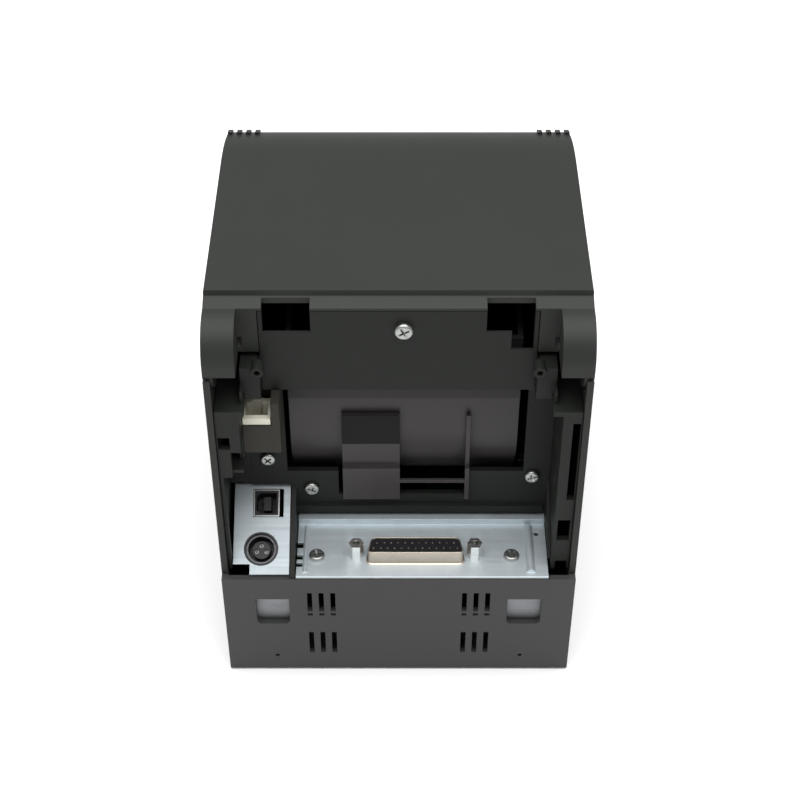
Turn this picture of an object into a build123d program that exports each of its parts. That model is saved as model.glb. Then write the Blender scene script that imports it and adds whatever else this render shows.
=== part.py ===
from build123d import *
import math
import os

# Thermal receipt printer, millimetres. Pieces are drawn with y = 0 on the rear panel (the front is at
# negative y) and z = 0 a little above the underside, then all are moved so that the origin is the centre
# of the footprint on the surface that the feet stand on. +X is on the left when looking at the rear.

WIDTH = 140.0
DEPTH = 203.0
CASE_H = 176.5
FOOT_H = 3.4
BASE_Z = -2.9
WALL = 2.5
FLOOR_TOP = BASE_Z + WALL
HALF = WIDTH / 2
INNER = HALF - WALL

# Cover hinge, and where the cover meets the case
HINGE_Y = -21.0
HINGE_Z = 157.0
PIN_R = 2.5
LUG_X = (61.2, 66.2)
LUG_CAVITY_R = 13.4
EAR_SWEEP_R = 16.5
EAR_DISC_R = 15.5
COVER_BOTTOM = 154.2
CASE_TOP = 153.6
COVER_FRONT = -140.2
RIM_Z = 172.6
RIM_FRONT_Z = 174.4
RIM_BOTTOM = 171.6
CREASE_Y = -27.8
CROWN_Y = -109.0
CROWN_R = 71.2
EAR_X = 58.2
EXIT_HALF = 43.0

# Sloping front
EXIT_EDGE_Y = -144.8
SLOPE_TOP = (-143.5, 165.5)
SLOPE_END = (-197.5, 127.6)
FRONT_SPLIT_Z = 112.0
FRONT_COVER_REAR = -141.1
BASE_EDGE_Z = 14.0

# Keys and lights: areas are x0, x1 and then up the slope, counted down from its top edge
PANEL_AREA = (-6.0, 58.0, -52.0, -26.0)
FEED_AT = (44.0, -39.0)
FEED_R = 6.5
LED_X = (2.0, 12.0, 22.0)
LED_V = -39.0
RELEASE_AREA = (-52.0, -30.0, -46.0, -30.0)
SWITCH_RECESS = (-54.0, -32.0, 28.0, 44.0)
ROCKER_Y = -198.0
ROCKER_PIN_R = 1.2

# Main board on its posts
BOARD_POST_X = 56.0
BOARD_POST_Y = (-185.0, -110.0, -40.0)
BOARD_Z = 9.8
BOARD_T = 1.6

# Connector recess at the rear
PANEL_Y = -22.0
PANEL_BOTTOM = 136.0
PANEL_TOP = 171.3
PILLAR_Y = -5.5
BACK_Y = -31.6
DECK_Z = 54.0
TRAY_TOP = DECK_Z - 1.4
WINDOW_X = (-49.5, 44.1)
WINDOW_Z = (81.7, 133.8)
NOTCH_X = (-26.3, 23.9)
NOTCH_Z = 68.7
SHOULDER_Z = 137.5
SHELF_Z = 150.0
SHELF_Y = -15.3
POWER_POCKET_Z = 104.0
HOOK_SLOT_X = (31.8, 49.1)
HOOK_SLOT_Z = 161.8
LOW_SLOT_X = 41.0
LOW_SLOT_Z = 153.6
LEFT_WALL_X = 58.4
RIGHT_WALL_X = -60.2
PILLAR_X = 67.3
KNUCKLE_X = (50.6, 57.9)
BOSS_X = 51.4
BOSS_Z = 148.9
FRAME_SCREW_AT = ((51.5, 89.0), (34.8, 72.6), (-53.1, 79.4))

# Paper path
PATH_X = -2.5
TUB_Y = -80.0
TUB_Z = 100.0
TUB_R = 45.0
TUB_WALL = 2.0
TUB_X = (-46.6, 42.4)
TUB_TOP = 148.0
PLATEN_Y = -130.0
PLATEN_Z = 149.0
PLATEN_R = 7.0
SHAFT_R = 3.0
BUSH_R = 5.0

# Feed gears: one module, three tooth counts
MODULE = 1.0
PLATEN_TEETH = 20
IDLER_TEETH = 30
PINION_TEETH = 12
GEAR_X = 52.5
GEAR_W = 4.0
IDLER_Z = PLATEN_Z - MODULE * (PLATEN_TEETH + IDLER_TEETH) / 2
MOTOR_ANGLE = math.radians(215)
MOTOR_REACH = MODULE * (IDLER_TEETH + PINION_TEETH) / 2
MOTOR_Y = PLATEN_Y + MOTOR_REACH * math.cos(MOTOR_ANGLE)
MOTOR_Z = IDLER_Z + MOTOR_REACH * math.sin(MOTOR_ANGLE)
MOTOR_R = 16.0

# Sheet steel side plates of the mechanism, the platen's bracket and the latch
SIDE_T = 1.5
SIDE_X = (PATH_X - 53.0, PATH_X + 51.5)
HOLDER_X = (PATH_X - 48.0, PATH_X + 46.5)
LATCH_Y = -152.5
LATCH_Z = 133.0
LATCH_R = 2.0
HEAD_PIVOT = (-141.5, 138.0)
HEAD_PIVOT_R = 1.5
TALL_POST_X = (SIDE_X[0] + 6, SIDE_X[1] - 6)
TALL_POST_Y = (-164.0, -136.0)

# Rear sockets
DSUB_X = -6.7
DSUB_Y = -11.7
DSUB_SCREW_PITCH = 47.04
PLATE_T = 1.2
PLATE_SCREW_X = (32.6, -45.0)
PLATE_SCREW_Y = -11.0
POWER_TILT = 30.0
POWER_PLATE_LEN = 38.0
POWER_PLATE_X = (44.9, 65.6)
USB_X = 52.1
USB_S = 30.0
DIN_X = 54.6
DIN_S = 11.2
DIN_PINS = ((-1.9, -0.6), (1.9, -0.6), (0.0, 1.9))
JACK_X = 53.4
JACK_TOP = 126.0


# Basic shapes

def box(x0, x1, y0, y1, z0, z1):
    """A block between two corners."""
    centre = Pos((x0 + x1) / 2, (y0 + y1) / 2, (z0 + z1) / 2)
    return centre * Box(abs(x1 - x0), abs(y1 - y0), abs(z1 - z0))


def rod_x(radius, x0, x1, y, z):
    """A cylinder along X."""
    return Pos((x0 + x1) / 2, y, z) * Rot(0, 90, 0) * Cylinder(radius, abs(x1 - x0))


def rod_y(radius, y0, y1, x, z):
    """A cylinder along Y."""
    return Pos(x, (y0 + y1) / 2, z) * Rot(90, 0, 0) * Cylinder(radius, abs(y1 - y0))


def rod_z(radius, z0, z1, x, y):
    """A cylinder along Z."""
    return Pos(x, y, (z0 + z1) / 2) * Cylinder(radius, abs(z1 - z0))


def side_prism(points, x0, x1):
    """A side outline of (y, z) points, extruded from x0 to x1."""
    outline = make_face(Polyline(*points, close=True))
    return extrude(Plane.YZ.offset(x0) * outline, amount=x1 - x0)


def side_span(side):
    """A block maker for one side, given by its distances from the middle."""
    def span(a, b, y0, y1, z0, z1):
        return box(side * a, side * b, y0, y1, z0, z1)
    return span


def joined(pieces):
    """One shape from a list of touching shapes."""
    return pieces[0].fuse(*pieces[1:]) if len(pieces) > 1 else pieces[0]


SLOPE_DROP = math.degrees(math.atan2(SLOPE_TOP[1] - SLOPE_END[1], SLOPE_TOP[0] - SLOPE_END[0]))
SLOPE_NORMAL = (0, -math.sin(math.radians(SLOPE_DROP)), math.cos(math.radians(SLOPE_DROP)))
SLOPE = Plane(origin=(0, *SLOPE_TOP), x_dir=(1, 0, 0), z_dir=SLOPE_NORMAL)
POWER_PLANE = Plane(
    origin=(0, -0.8, DECK_Z - 0.5),
    x_dir=(-1, 0, 0),
    z_dir=(0, math.sin(math.radians(POWER_TILT)), math.cos(math.radians(POWER_TILT))),
)


def on_plane(plane, u0, u1, v0, v1, h0, h1):
    """A block between two corners given along a tilted plane."""
    return plane * box(u0, u1, v0, v1, h0, h1)


def round_on(plane, radius, u, v, h0, h1):
    """A cylinder standing on a tilted plane."""
    return plane * Pos(u, v, (h0 + h1) / 2) * Cylinder(radius, abs(h1 - h0))


def pan_screw(plane, u, v, head_r, head_h, shank_r, shank):
    """A pan head screw with a cross recess; the plane is the face under its head."""
    head = round_on(plane, head_r, u, v, 0, head_h)
    head = fillet(head.edges().group_by(Axis(plane.origin, plane.z_dir))[-1], head_h * 0.45)
    cross_arm = head_r * 0.62
    cross_w = head_r * 0.13
    for du, dv in ((cross_arm, cross_w), (cross_w, cross_arm)):
        head -= on_plane(plane, u - du, u + du, v - dv, v + dv, head_h * 0.45, head_h + 1)
    return head + round_on(plane, shank_r, u, v, -shank, 0.0)


def rear_screw(x, y, z, head_r, head_h, shank_r, shank):
    """A screw whose head faces the rear; y is the face under its head."""
    plane = Plane(origin=(x, y, z), x_dir=(-1, 0, 0), z_dir=(0, 1, 0))
    return pan_screw(plane, 0, 0, head_r, head_h, shank_r, shank)


def gear(teeth, x0, width, y, z, phase_deg, bore):
    """A spur gear along X, with straight-flanked teeth thinned for backlash."""
    pitch_r = MODULE * teeth / 2
    tip_r = pitch_r + 0.85 * MODULE
    root_r = pitch_r - 1.15 * MODULE
    step = 2 * math.pi / teeth
    points = []
    for i in range(teeth):
        middle = math.radians(phase_deg) + i * step
        for radius, half_mm in ((root_r, -1.02), (pitch_r, -0.70), (tip_r, -0.30),
                                (tip_r, 0.30), (pitch_r, 0.70), (root_r, 1.02)):
            angle = middle + half_mm * MODULE / pitch_r
            points.append((y + radius * math.cos(angle), z + radius * math.sin(angle)))
    blank = side_prism(points, x0, x0 + width)
    return blank - rod_x(bore, x0 - 1, x0 + width + 1, y, z)


# Casing

def vent_slots(side):
    """Three slots above three, on one side of the rear panel, with a bar low in the upper ones."""
    cuts = []
    for i in range(3):
        x = side * (26.3 + 4.65 * i)
        cuts.append(box(x - 1.0, x + 1.0, -4, 1, 33.4, 44.5))
        cuts.append(box(x - 1.0, x + 1.0, -4, 1, 30.8, 32.2))
        cuts.append(box(x - 1.0, x + 1.0, -4, 1, 7.6, 20.5))
    return cuts


def base_tray():
    """The floor of the case with its low rim on three sides."""
    tray = box(-HALF, HALF, -DEPTH, -WALL, BASE_Z, BASE_EDGE_Z)
    tray -= box(-INNER, INNER, -DEPTH + WALL, 0, FLOOR_TOP, BASE_EDGE_Z + 1)
    for x, y in foot_places():
        tray -= rod_z(4.6, BASE_Z - 1, BASE_Z + 1.0, x, y)
    return tray


def foot_places():
    """Where the four feet stand."""
    return [(side * 58, y) for side in (1, -1) for y in (-18.0, -185.0)]


def rear_panel():
    """The tall lower panel at the rear of the tray, with its vents, screw holes and two windows."""
    panel = box(-HALF, HALF, -WALL, 0, BASE_Z, TRAY_TOP)
    for side in (1, -1):
        panel += box(side * INNER, side * HALF, -6.0, -WALL, BASE_EDGE_Z, TRAY_TOP)
    panel = chamfer(panel.edges().filter_by(Axis.X).group_by(Axis.Z)[0].sort_by(Axis.Y)[-1], 0.5)
    for side in (1, -1):
        for cut in vent_slots(side):
            panel -= cut
        panel -= rod_y(0.9, -4, 1, side * 50, 5.8)
    panel -= side_window(43.9, 57.2)
    panel -= side_window(-57.2, -43.6)
    return panel


def side_window(x0, x1):
    """A window in the rear panel with its lower corners cut."""
    z0 = 25.8
    z1 = 40.8
    cut = 1.4
    outline = Polyline(
        (x0, z1), (x0, z0 + cut), (x0 + cut, z0), (x1 - cut, z0), (x1, z0 + cut), (x1, z1), close=True)
    return extrude(Plane.XZ.offset(-2) * make_face(outline), amount=6)


def main_case():
    """Side walls and the lower front of the case, with the two hollows that the hinge ears turn in."""
    outer = side_prism(
        [(-DEPTH, BASE_EDGE_Z + 0.2), (-6.3, BASE_EDGE_Z + 0.2), (-6.3, DECK_Z - 0.8),
         (-3.0, DECK_Z - 0.8), (-5.0, CASE_TOP), (-140.8, CASE_TOP), (-140.8, FRONT_SPLIT_Z - 0.2),
         (-DEPTH, FRONT_SPLIT_Z - 0.2)], -HALF, HALF)
    shell = outer - box(-INNER, INNER, -DEPTH + WALL, 5, 0, CASE_H)
    front_corners = [e for e in shell.edges().filter_by(Axis.Z)
                     if abs(abs(e.center().X) - HALF) < 0.01 and e.center().Y < -DEPTH + 0.1]
    shell = fillet(front_corners, 2.0)
    shell -= rod_x(EAR_SWEEP_R, -HALF - 1, HALF + 1, HINGE_Y, HINGE_Z)
    x0, x1, z0, z1 = SWITCH_RECESS
    shell += box(x0 - 2, x1 + 2, -DEPTH + 1, -DEPTH + 6.5, z0 - 2, z1 + 2)
    shell -= box(x0, x1, -DEPTH - 1, -DEPTH + 10, z0, z1)
    return shell


def front_outline(inset):
    """The front cover seen from the side; inset is the wall taken off for the inner outline."""
    slope = (SLOPE_TOP[1] - SLOPE_END[1]) / (SLOPE_TOP[0] - SLOPE_END[0])
    top = SLOPE_TOP[1] - inset / math.cos(math.radians(SLOPE_DROP))
    front = -DEPTH + inset
    shoulder_y = SLOPE_END[0] + inset * 0.4
    shoulder_z = top + slope * (shoulder_y - SLOPE_TOP[0])
    nose = [(shoulder_y, shoulder_z), (front, shoulder_z - 6.5)]
    if inset == 0:
        return [(FRONT_COVER_REAR, FRONT_SPLIT_Z), (FRONT_COVER_REAR, top), (SLOPE_TOP[0], top), *nose,
                (front, FRONT_SPLIT_Z)]
    rear = FRONT_COVER_REAR + 5
    rear_top = top + slope * (rear - SLOPE_TOP[0])
    return [(rear, FRONT_SPLIT_Z - 1), (rear, rear_top), *nose, (front, FRONT_SPLIT_Z - 1)]


def front_cover():
    """The removable sloping cover in front of the paper exit, with holes for its keys and lights."""
    shell = side_prism(front_outline(0), -HALF, HALF)
    shell -= side_prism(front_outline(2.2), -INNER, INNER)
    shell -= box(PATH_X - EXIT_HALF, PATH_X + EXIT_HALF, EXIT_EDGE_Y, -130, 150, 180)
    shell -= box(-INNER, INNER, -141.3, -140, FRONT_SPLIT_Z - 1, 150)
    x0, x1, v0, v1 = PANEL_AREA
    shell -= on_plane(SLOPE, x0 - 0.2, x1 + 0.2, v0 - 0.2, v1 + 0.2, -1.2, 2)
    shell -= round_on(SLOPE, FEED_R + 0.3, *FEED_AT, -6, 2)
    for x in LED_X:
        shell -= round_on(SLOPE, 1.8, x, LED_V, -6, 2)
    x0, x1, v0, v1 = RELEASE_AREA
    shell -= on_plane(SLOPE, x0 - 0.3, x1 + 0.3, v0 - 0.3, v1 + 0.3, -8, 2)
    return shell


def control_panel():
    """The flush plate round the feed button and the lights."""
    x0, x1, v0, v1 = PANEL_AREA
    plate = on_plane(SLOPE, x0, x1, v0, v1, -1.2, 0)
    plate -= round_on(SLOPE, FEED_R + 0.3, *FEED_AT, -3, 1)
    for x in LED_X:
        plate -= round_on(SLOPE, 1.8, x, LED_V, -3, 1)
    return plate


def feed_button():
    """A round key with a shallow dish and a flange that keeps it behind the cover."""
    key = round_on(SLOPE, FEED_R, *FEED_AT, -4.4, 0.4)
    key += round_on(SLOPE, FEED_R + 1.4, *FEED_AT, -4.4, -3.4)
    dish_r = 40.0
    key -= SLOPE * Pos(*FEED_AT, dish_r - 0.1) * Sphere(dish_r)
    return key


def status_leds():
    """Three small light guides."""
    return [round_on(SLOPE, 1.7, x, LED_V, -4.0, 0.1) for x in LED_X]


def release_button():
    """The key that frees the cover, with a stem towards the latch."""
    x0, x1, v0, v1 = RELEASE_AREA
    key = on_plane(SLOPE, x0, x1, v0, v1, -5.0, 0.0)
    key = fillet(key.edges().group_by(Axis(SLOPE.origin, SLOPE.z_dir))[-1], 0.8)
    for i in range(3):
        v = v0 + 5 + 3 * i
        key -= on_plane(SLOPE, x0 + 4, x1 - 4, v - 0.5, v + 0.5, -0.6, 1)
    return key + on_plane(SLOPE, x0 + 8, x0 + 12, v0 + 3, v1 - 3, -9, -5)


def power_rocker():
    """A rocker with two flats, stored with its upper half pressed."""
    x0, x1, z0, z1 = SWITCH_RECESS
    zc = (z0 + z1) / 2
    y = -DEPTH + 1.0
    rocker = side_prism(
        [(y + 0.6, zc + 6.0), (y + 1.4, zc), (y - 0.6, zc - 6.0), (y + 4.5, zc - 3.0),
         (y + 6.0, zc), (y + 4.5, zc + 3.0)], x0 + 4.2, x1 - 4.2)
    return rocker + rod_x(ROCKER_PIN_R, x0 + 2.2, x1 - 2.2, ROCKER_Y, zc)


def rocker_frame():
    """The frame that the rocker sits in, fixed in the front wall."""
    x0, x1, z0, z1 = SWITCH_RECESS
    frame = box(x0 + 0.1, x1 - 0.1, -DEPTH + 0.4, -DEPTH + 12, z0 + 0.1, z1 - 0.1)
    frame -= box(x0 + 3.6, x1 - 3.6, -DEPTH - 1, -DEPTH + 10, z0 + 1.2, z1 - 1.2)
    return frame - rod_x(ROCKER_PIN_R + 0.06, x0 + 2.1, x1 - 2.1, ROCKER_Y, (z0 + z1) / 2)


def cover_outline(inset):
    """The cover seen from the side, as a closed wire; inset is the wall taken off."""
    drop = CROWN_R - inset
    centre_z = CASE_H - CROWN_R

    def crown(y):
        return (y, centre_z + math.sqrt(drop ** 2 - (y - CROWN_Y) ** 2))

    front = COVER_FRONT + inset
    middle = (front + CROWN_Y) / 2
    top = CASE_H - inset
    arc = ThreePointArc((CROWN_Y, top), crown(middle), crown(front))
    if inset:
        rear = CREASE_Y - 10.6
        rest = Polyline(crown(front), (front, COVER_BOTTOM - 1), (rear, COVER_BOTTOM - 1), (rear, top),
                        (CROWN_Y, top))
    else:
        rest = Polyline(crown(front), (front, COVER_BOTTOM), (-5.5, COVER_BOTTOM), (-5.5, RIM_Z),
                        (PANEL_Y, RIM_Z), (CREASE_Y + 0.6, RIM_FRONT_Z), (CREASE_Y, CASE_H),
                        (CROWN_Y, top))
    return make_face(Wire([*arc.edges(), *rest.edges()]))


def grip_ribs(side):
    """Four low ribs over the front corner of the cover."""
    ribs = []
    rib_h = 1.1
    rib_r = CROWN_R + rib_h
    for i in range(4):
        x = side * (57.4 + 3.7 * i)
        disc = rod_x(rib_r, x - 0.95, x + 0.95, CROWN_Y, CASE_H - CROWN_R)
        disc -= rod_x(CROWN_R - 0.8, x - 2, x + 2, CROWN_Y, CASE_H - CROWN_R)
        ribs.append(disc & box(x - 1, x + 1, COVER_FRONT, -134.6, 160, 180))
    return ribs


def cover_shell():
    """The hinged cover: a curved top, side skirts, a rear rim and two hinge ears."""
    shell = extrude(Plane.YZ.offset(-HALF) * cover_outline(0), amount=WIDTH)
    ear_edges = [e for e in shell.edges().filter_by(Axis.X)
                 if abs(e.center().Y + 5.5) < 0.01 and e.center().Z > 170]
    shell = fillet(ear_edges, 14.0)
    side_tops = [e for e in shell.edges() if abs(abs(e.center().X) - HALF) < 0.01
                 and e.center().Z > 171 and e.center().Y < CREASE_Y - 2]
    shell = fillet(side_tops, 0.9)
    shell -= extrude(Plane.YZ.offset(-INNER) * cover_outline(3.0), amount=2 * INNER)
    x = EAR_X
    shell -= box(-x, x, CREASE_Y - 11, 0, COVER_BOTTOM - 1, RIM_BOTTOM)
    shell -= box(-x, x, PANEL_Y, 0, COVER_BOTTOM - 1, CASE_H + 1)
    shell -= box(-58.0, 58.6, COVER_FRONT - 1, -134, 150, 164.5)
    for side in (1, -1):
        shell += ear_web(side)
        a, b = sorted((side * HOOK_SLOT_X[0], side * HOOK_SLOT_X[1]))
        shell -= box(a, b, CREASE_Y + 1.4, 0, 160, CASE_H)
        gap = 0.3
        shell -= rod_x(
            LUG_CAVITY_R, side * (LUG_X[0] - gap), side * (LUG_X[1] + gap), HINGE_Y, HINGE_Z)
        shell += rod_x(EAR_DISC_R, side * (LUG_X[1] + gap), side * HALF, HINGE_Y, HINGE_Z)
        shell -= rod_x(PIN_R + 0.05, side * 57, side * 68.2, HINGE_Y, HINGE_Z)
    return joined([shell, *grip_ribs(1), *grip_ribs(-1)])


def ear_web(side):
    """The wall between an ear and the rim, level with the frame's centre panel."""
    return side_span(side)(KNUCKLE_X[0] + 0.3, EAR_X + 0.5, PANEL_Y - 3, PANEL_Y, SHELF_Z + 2.4, RIM_Z)


def cover_inner():
    """The frame inside the cover that stiffens it and carries the platen."""
    plate = box(-60, 60, -118, -42, 170.0, 172.0)
    for y, top in ((-117, 172.8), (-80, 173.5), (-43, 173.5)):
        plate += box(-60, 60, y - 1, y + 1, 167.0, top)
    for x in (-59, -30, 0, 30, 59):
        plate += box(x - 1, x + 1, -118, -42, 167.0, 172.0)
    for x in (PATH_X - 46, PATH_X + 45):
        plate += box(x - 3, x + 3, -132, -116, 162.6, 169.2)
        plate += box(x - 3, x + 3, -122, -116, 169.2, 170.5)
    return plate


def hinge_pins():
    """Two steel pins, held in the frame's lugs, that the ears turn on."""
    return [rod_x(PIN_R, side * 58.4, side * 68.0, HINGE_Y, HINGE_Z) for side in (1, -1)]


def rubber_feet():
    """Four round feet in shallow seats."""
    feet = []
    for x, y in foot_places():
        foot = rod_z(4.5, -FOOT_H, BASE_Z + 1.0, x, y)
        feet.append(chamfer(foot.edges().group_by(Axis.Z)[0], 0.3))
    return feet


# Rear frame

def rear_frame():
    """The moulding that closes the rear recess: back wall with its window, shelf and divider."""
    shelf_z = PANEL_BOTTOM - 2.2
    low_z = DECK_Z + 3.4
    frame = box(RIGHT_WALL_X, LEFT_WALL_X, BACK_Y - 2.4, BACK_Y, low_z, PANEL_BOTTOM)
    frame += box(RIGHT_WALL_X, LEFT_WALL_X, BACK_Y - 2.4, PANEL_Y - 3, shelf_z, PANEL_BOTTOM)
    frame += box(RIGHT_WALL_X + 2, 41.0, BACK_Y, BACK_Y + 1.4, low_z + 2.6, low_z + 5.6)
    for side in (1, -1):
        frame -= side_span(side)(KNUCKLE_X[0], 61, -40, PANEL_Y, SHOULDER_Z - 2.2, SHOULDER_Z)
    frame -= box(*WINDOW_X, BACK_Y - 5, BACK_Y + 1, *WINDOW_Z)
    frame -= box(*NOTCH_X, BACK_Y - 5, BACK_Y + 1, NOTCH_Z, WINDOW_Z[0] + 1)
    frame -= box(43.1, LEFT_WALL_X + 1, BACK_Y - 5, BACK_Y + 1, DECK_Z - 2, DECK_Z + 20)
    frame += side_prism(
        [(-33, DECK_Z - 4), (-2.9, DECK_Z - 4), (-2.9, TRAY_TOP + 0.2), (-0.4, TRAY_TOP + 0.2),
         (-0.4, DECK_Z), (-33, DECK_Z + 19)], 41.0, 43.0)
    frame += side_prism(
        [(BACK_Y, DECK_Z + 4), (PILLAR_Y - 1, DECK_Z + 4), (BACK_Y, DECK_Z + 22)],
        RIGHT_WALL_X, RIGHT_WALL_X + 1.2)
    for x, z in FRAME_SCREW_AT:
        frame -= rod_y(1.0, BACK_Y - 5, BACK_Y + 1, x, z)
    return frame


def centre_panel():
    """The upper panel between the hinge ears, with the notches that a bracket hooks into."""
    edge = KNUCKLE_X[0]
    front = PANEL_Y - 3
    skin = PANEL_Y - 0.9
    relief = 3.0
    panel = box(-edge, edge, front, PANEL_Y, PANEL_BOTTOM - 2.2, PANEL_TOP)
    slots = [(*HOOK_SLOT_X, HOOK_SLOT_Z), (-HOOK_SLOT_X[1], -HOOK_SLOT_X[0], HOOK_SLOT_Z),
             (-HOOK_SLOT_X[1], -LOW_SLOT_X, LOW_SLOT_Z)]
    for x0, x1, z0 in slots:
        panel -= box(x0, x1, front - 1, PANEL_Y + 1, z0, PANEL_TOP + 1)
        panel -= box(x0, x1, front - 1, skin, z0 - relief, z0 + 1)
    panel -= rod_y(1.2, -27, -20, -1.9, 163.0)
    return panel


def frame_pillars():
    """The two pillars beside the recess, each with the wall behind it; the left one is cut for plugs."""
    top = SHOULDER_Z - 2.2
    outlook = PILLAR_Y + 1
    left = box(LEFT_WALL_X, PILLAR_X, PILLAR_Y - 2.6, PILLAR_Y, DECK_Z - 1.0, top)
    left += box(LEFT_WALL_X, LEFT_WALL_X + 1.8, BACK_Y - 2.4, PILLAR_Y, DECK_Z - 1.0, top)
    left -= box(62.4, 66.8, PILLAR_Y - 4, outlook, 118.6, 124.6)
    left -= box(LEFT_WALL_X - 1, 62.4, PILLAR_Y - 8, outlook, POWER_POCKET_Z, 117.0)
    left -= box(LEFT_WALL_X - 1, 65.9, BACK_Y - 5, 1, DECK_Z - 2, POWER_POCKET_Z)
    left += box(LEFT_WALL_X, PILLAR_X, BACK_Y - 2.4, PILLAR_Y - 2.6, POWER_POCKET_Z, POWER_POCKET_Z + 1.6)
    left += box(LEFT_WALL_X, PILLAR_X, BACK_Y - 2.4, BACK_Y, 75.0, POWER_POCKET_Z + 1.6)
    right = box(-PILLAR_X, RIGHT_WALL_X, PILLAR_Y - 2.6, PILLAR_Y, DECK_Z - 1.0, top)
    right += box(RIGHT_WALL_X - 1.6, RIGHT_WALL_X, BACK_Y - 2.4, PILLAR_Y, DECK_Z - 1.0, top)
    right -= box(-66.9, -64.0, PILLAR_Y - 4, outlook, 92.0, 131.8)
    right -= box(-66.4, -61.6, PILLAR_Y - 4, outlook, 69.5, 80.8)
    right -= box(-66.4, -61.8, PILLAR_Y - 4, outlook, DECK_Z - 2, 57.6)
    return [left, right]


def hinge_brackets():
    """The shoulder under each hinge ear, with the shelf, its boss and the lug that holds the pin."""
    bottom = SHOULDER_Z - 2.2
    x0, x1 = KNUCKLE_X
    lug_foot_y = -36.0
    lug_r = 5.5
    stem_half = 4.0
    reach = math.dist((lug_foot_y, SHOULDER_Z), (HINGE_Y, HINGE_Z))
    across_y = stem_half * (HINGE_Z - SHOULDER_Z) / reach
    across_z = stem_half * (HINGE_Y - lug_foot_y) / reach
    stem = [(lug_foot_y - 4.2, bottom), (lug_foot_y + 5.0, bottom),
            (HINGE_Y + across_y, HINGE_Z - across_z), (HINGE_Y - across_y, HINGE_Z + across_z)]
    brackets = []
    for side in (1, -1):
        span = side_span(side)
        a, b = sorted((side * LUG_X[0], side * LUG_X[1]))
        part = span(56.4, PILLAR_X, -40.2, PILLAR_Y, bottom, SHOULDER_Z)
        part += span(x0, x1, -34, SHELF_Y, bottom, SHELF_Z)
        part += span(56.9, x1, -40.2, -10.0, bottom, 143.0)
        part += span(56.9, PILLAR_X, -40.2, -39.0, bottom, 153.2)
        part += side_prism(stem, a, b)
        part += rod_x(lug_r, a, b, HINGE_Y, HINGE_Z)
        part -= rod_x(PIN_R, a - 1, b + 1, HINGE_Y, HINGE_Z)
        part += rod_y(2.4, SHELF_Y - 4, SHELF_Y + 1.3, side * BOSS_X, BOSS_Z)
        part -= rod_y(1.1, -26, -8, side * BOSS_X, BOSS_Z)
        brackets.append(part)
    return brackets


def frame_screws():
    """Three screws that hold the rear frame to the mechanism."""
    return [rear_screw(x, BACK_Y, z, 3.0, 1.9, 1.0, 5.0) for x, z in FRAME_SCREW_AT]


def centre_screw():
    """The larger screw in the middle of the centre panel."""
    return rear_screw(-1.9, PANEL_Y, 163.0, 3.5, 2.4, 1.2, 4.4)


def jack_block():
    """The moulding round the cash drawer jack, with a channel above the jack's mouth."""
    block = box(WINDOW_X[1] + 0.1, 58.3, BACK_Y + 0.05, -14.0, 109.0, PANEL_BOTTOM - 2.4)
    block -= box(47.4, 60, -28.0, -10, JACK_TOP - 3.2, PANEL_BOTTOM)
    block -= box(JACK_X - 5.9, JACK_X + 4.9, -26.1, -10, JACK_TOP - 15, PANEL_BOTTOM)
    block += box(JACK_X - 5.9, 58.3, -16.4, -14.0, 109, JACK_TOP - 3.2)
    block += box(JACK_X - 5.9, 58.3, -28, -14.0, 109, 110.8)
    return block


def drawer_jack():
    """A six-way modular jack whose mouth faces up."""
    body = box(JACK_X - 5.7, JACK_X + 4.7, -26.0, -16.5, 111.0, JACK_TOP)
    body += box(JACK_X - 5.7, JACK_X + 4.7, -16.6, -14.4, JACK_TOP - 3.0, JACK_TOP)
    body -= box(JACK_X - 4.6, JACK_X + 3.6, -23.4, -16.6, 113.2, JACK_TOP + 1)
    body -= box(JACK_X - 2.2, JACK_X + 1.2, -24.8, -23.0, 113.2, JACK_TOP + 1)
    return body


def jack_contacts():
    """Six spring wires along the front wall of the jack."""
    wires = []
    for i in range(6):
        x = JACK_X - 0.5 + (i - 2.5) * 1.02
        wires.append(box(x - 0.2, x + 0.2, -17.4, -16.65, 113.6, 121.5))
    return wires


# Steel plates and sockets

def interface_plate():
    """The steel plate over the interface board, with a raised front lip and two embossed beads."""
    x0 = RIGHT_WALL_X + 1.0
    x1 = 40.6
    step_y = -28.6
    lip_z = DECK_Z + 3.0
    plate = box(x0, x1, step_y, -0.5, DECK_Z - PLATE_T, DECK_Z)
    plate += box(x0, x1, step_y - PLATE_T, step_y, DECK_Z - PLATE_T, lip_z)
    plate += box(x0, x1, -33.4, step_y, lip_z - PLATE_T, lip_z)
    plate += box(x0, x1, -4.0, -2.8, DECK_Z - 4.4, DECK_Z)
    for x, radius, rise in ((-52.4, 1.9, 1.3), (37.1, 1.2, 0.5)):
        bead = rod_y(radius, step_y + 1, -2.6, x, DECK_Z + rise - radius)
        plate += bead & box(x - 3, x + 3, -30, 0, DECK_Z - 0.5, DECK_Z + 3)
    for y0, y1 in ((-18.6, -15.6), (-11.8, -9.4), (-7.6, -5.6)):
        plate -= box(x1 - 2.4, x1 + 1, y0, y1, DECK_Z - 2, DECK_Z + 1)
    plate -= dsub_prism(39.4, 9.2, DECK_Z - 3, DECK_Z + 1)
    for side in (1, -1):
        plate -= rod_z(1.7, DECK_Z - 3, DECK_Z + 1, DSUB_X + side * DSUB_SCREW_PITCH / 2, DSUB_Y)
    for x in PLATE_SCREW_X:
        plate -= rod_z(1.3, DECK_Z - 3, DECK_Z + 1, x, PLATE_SCREW_Y)
    plate -= rod_z(1.0, DECK_Z - 3, DECK_Z + 1, -55.6, -23.2)
    return plate


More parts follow.
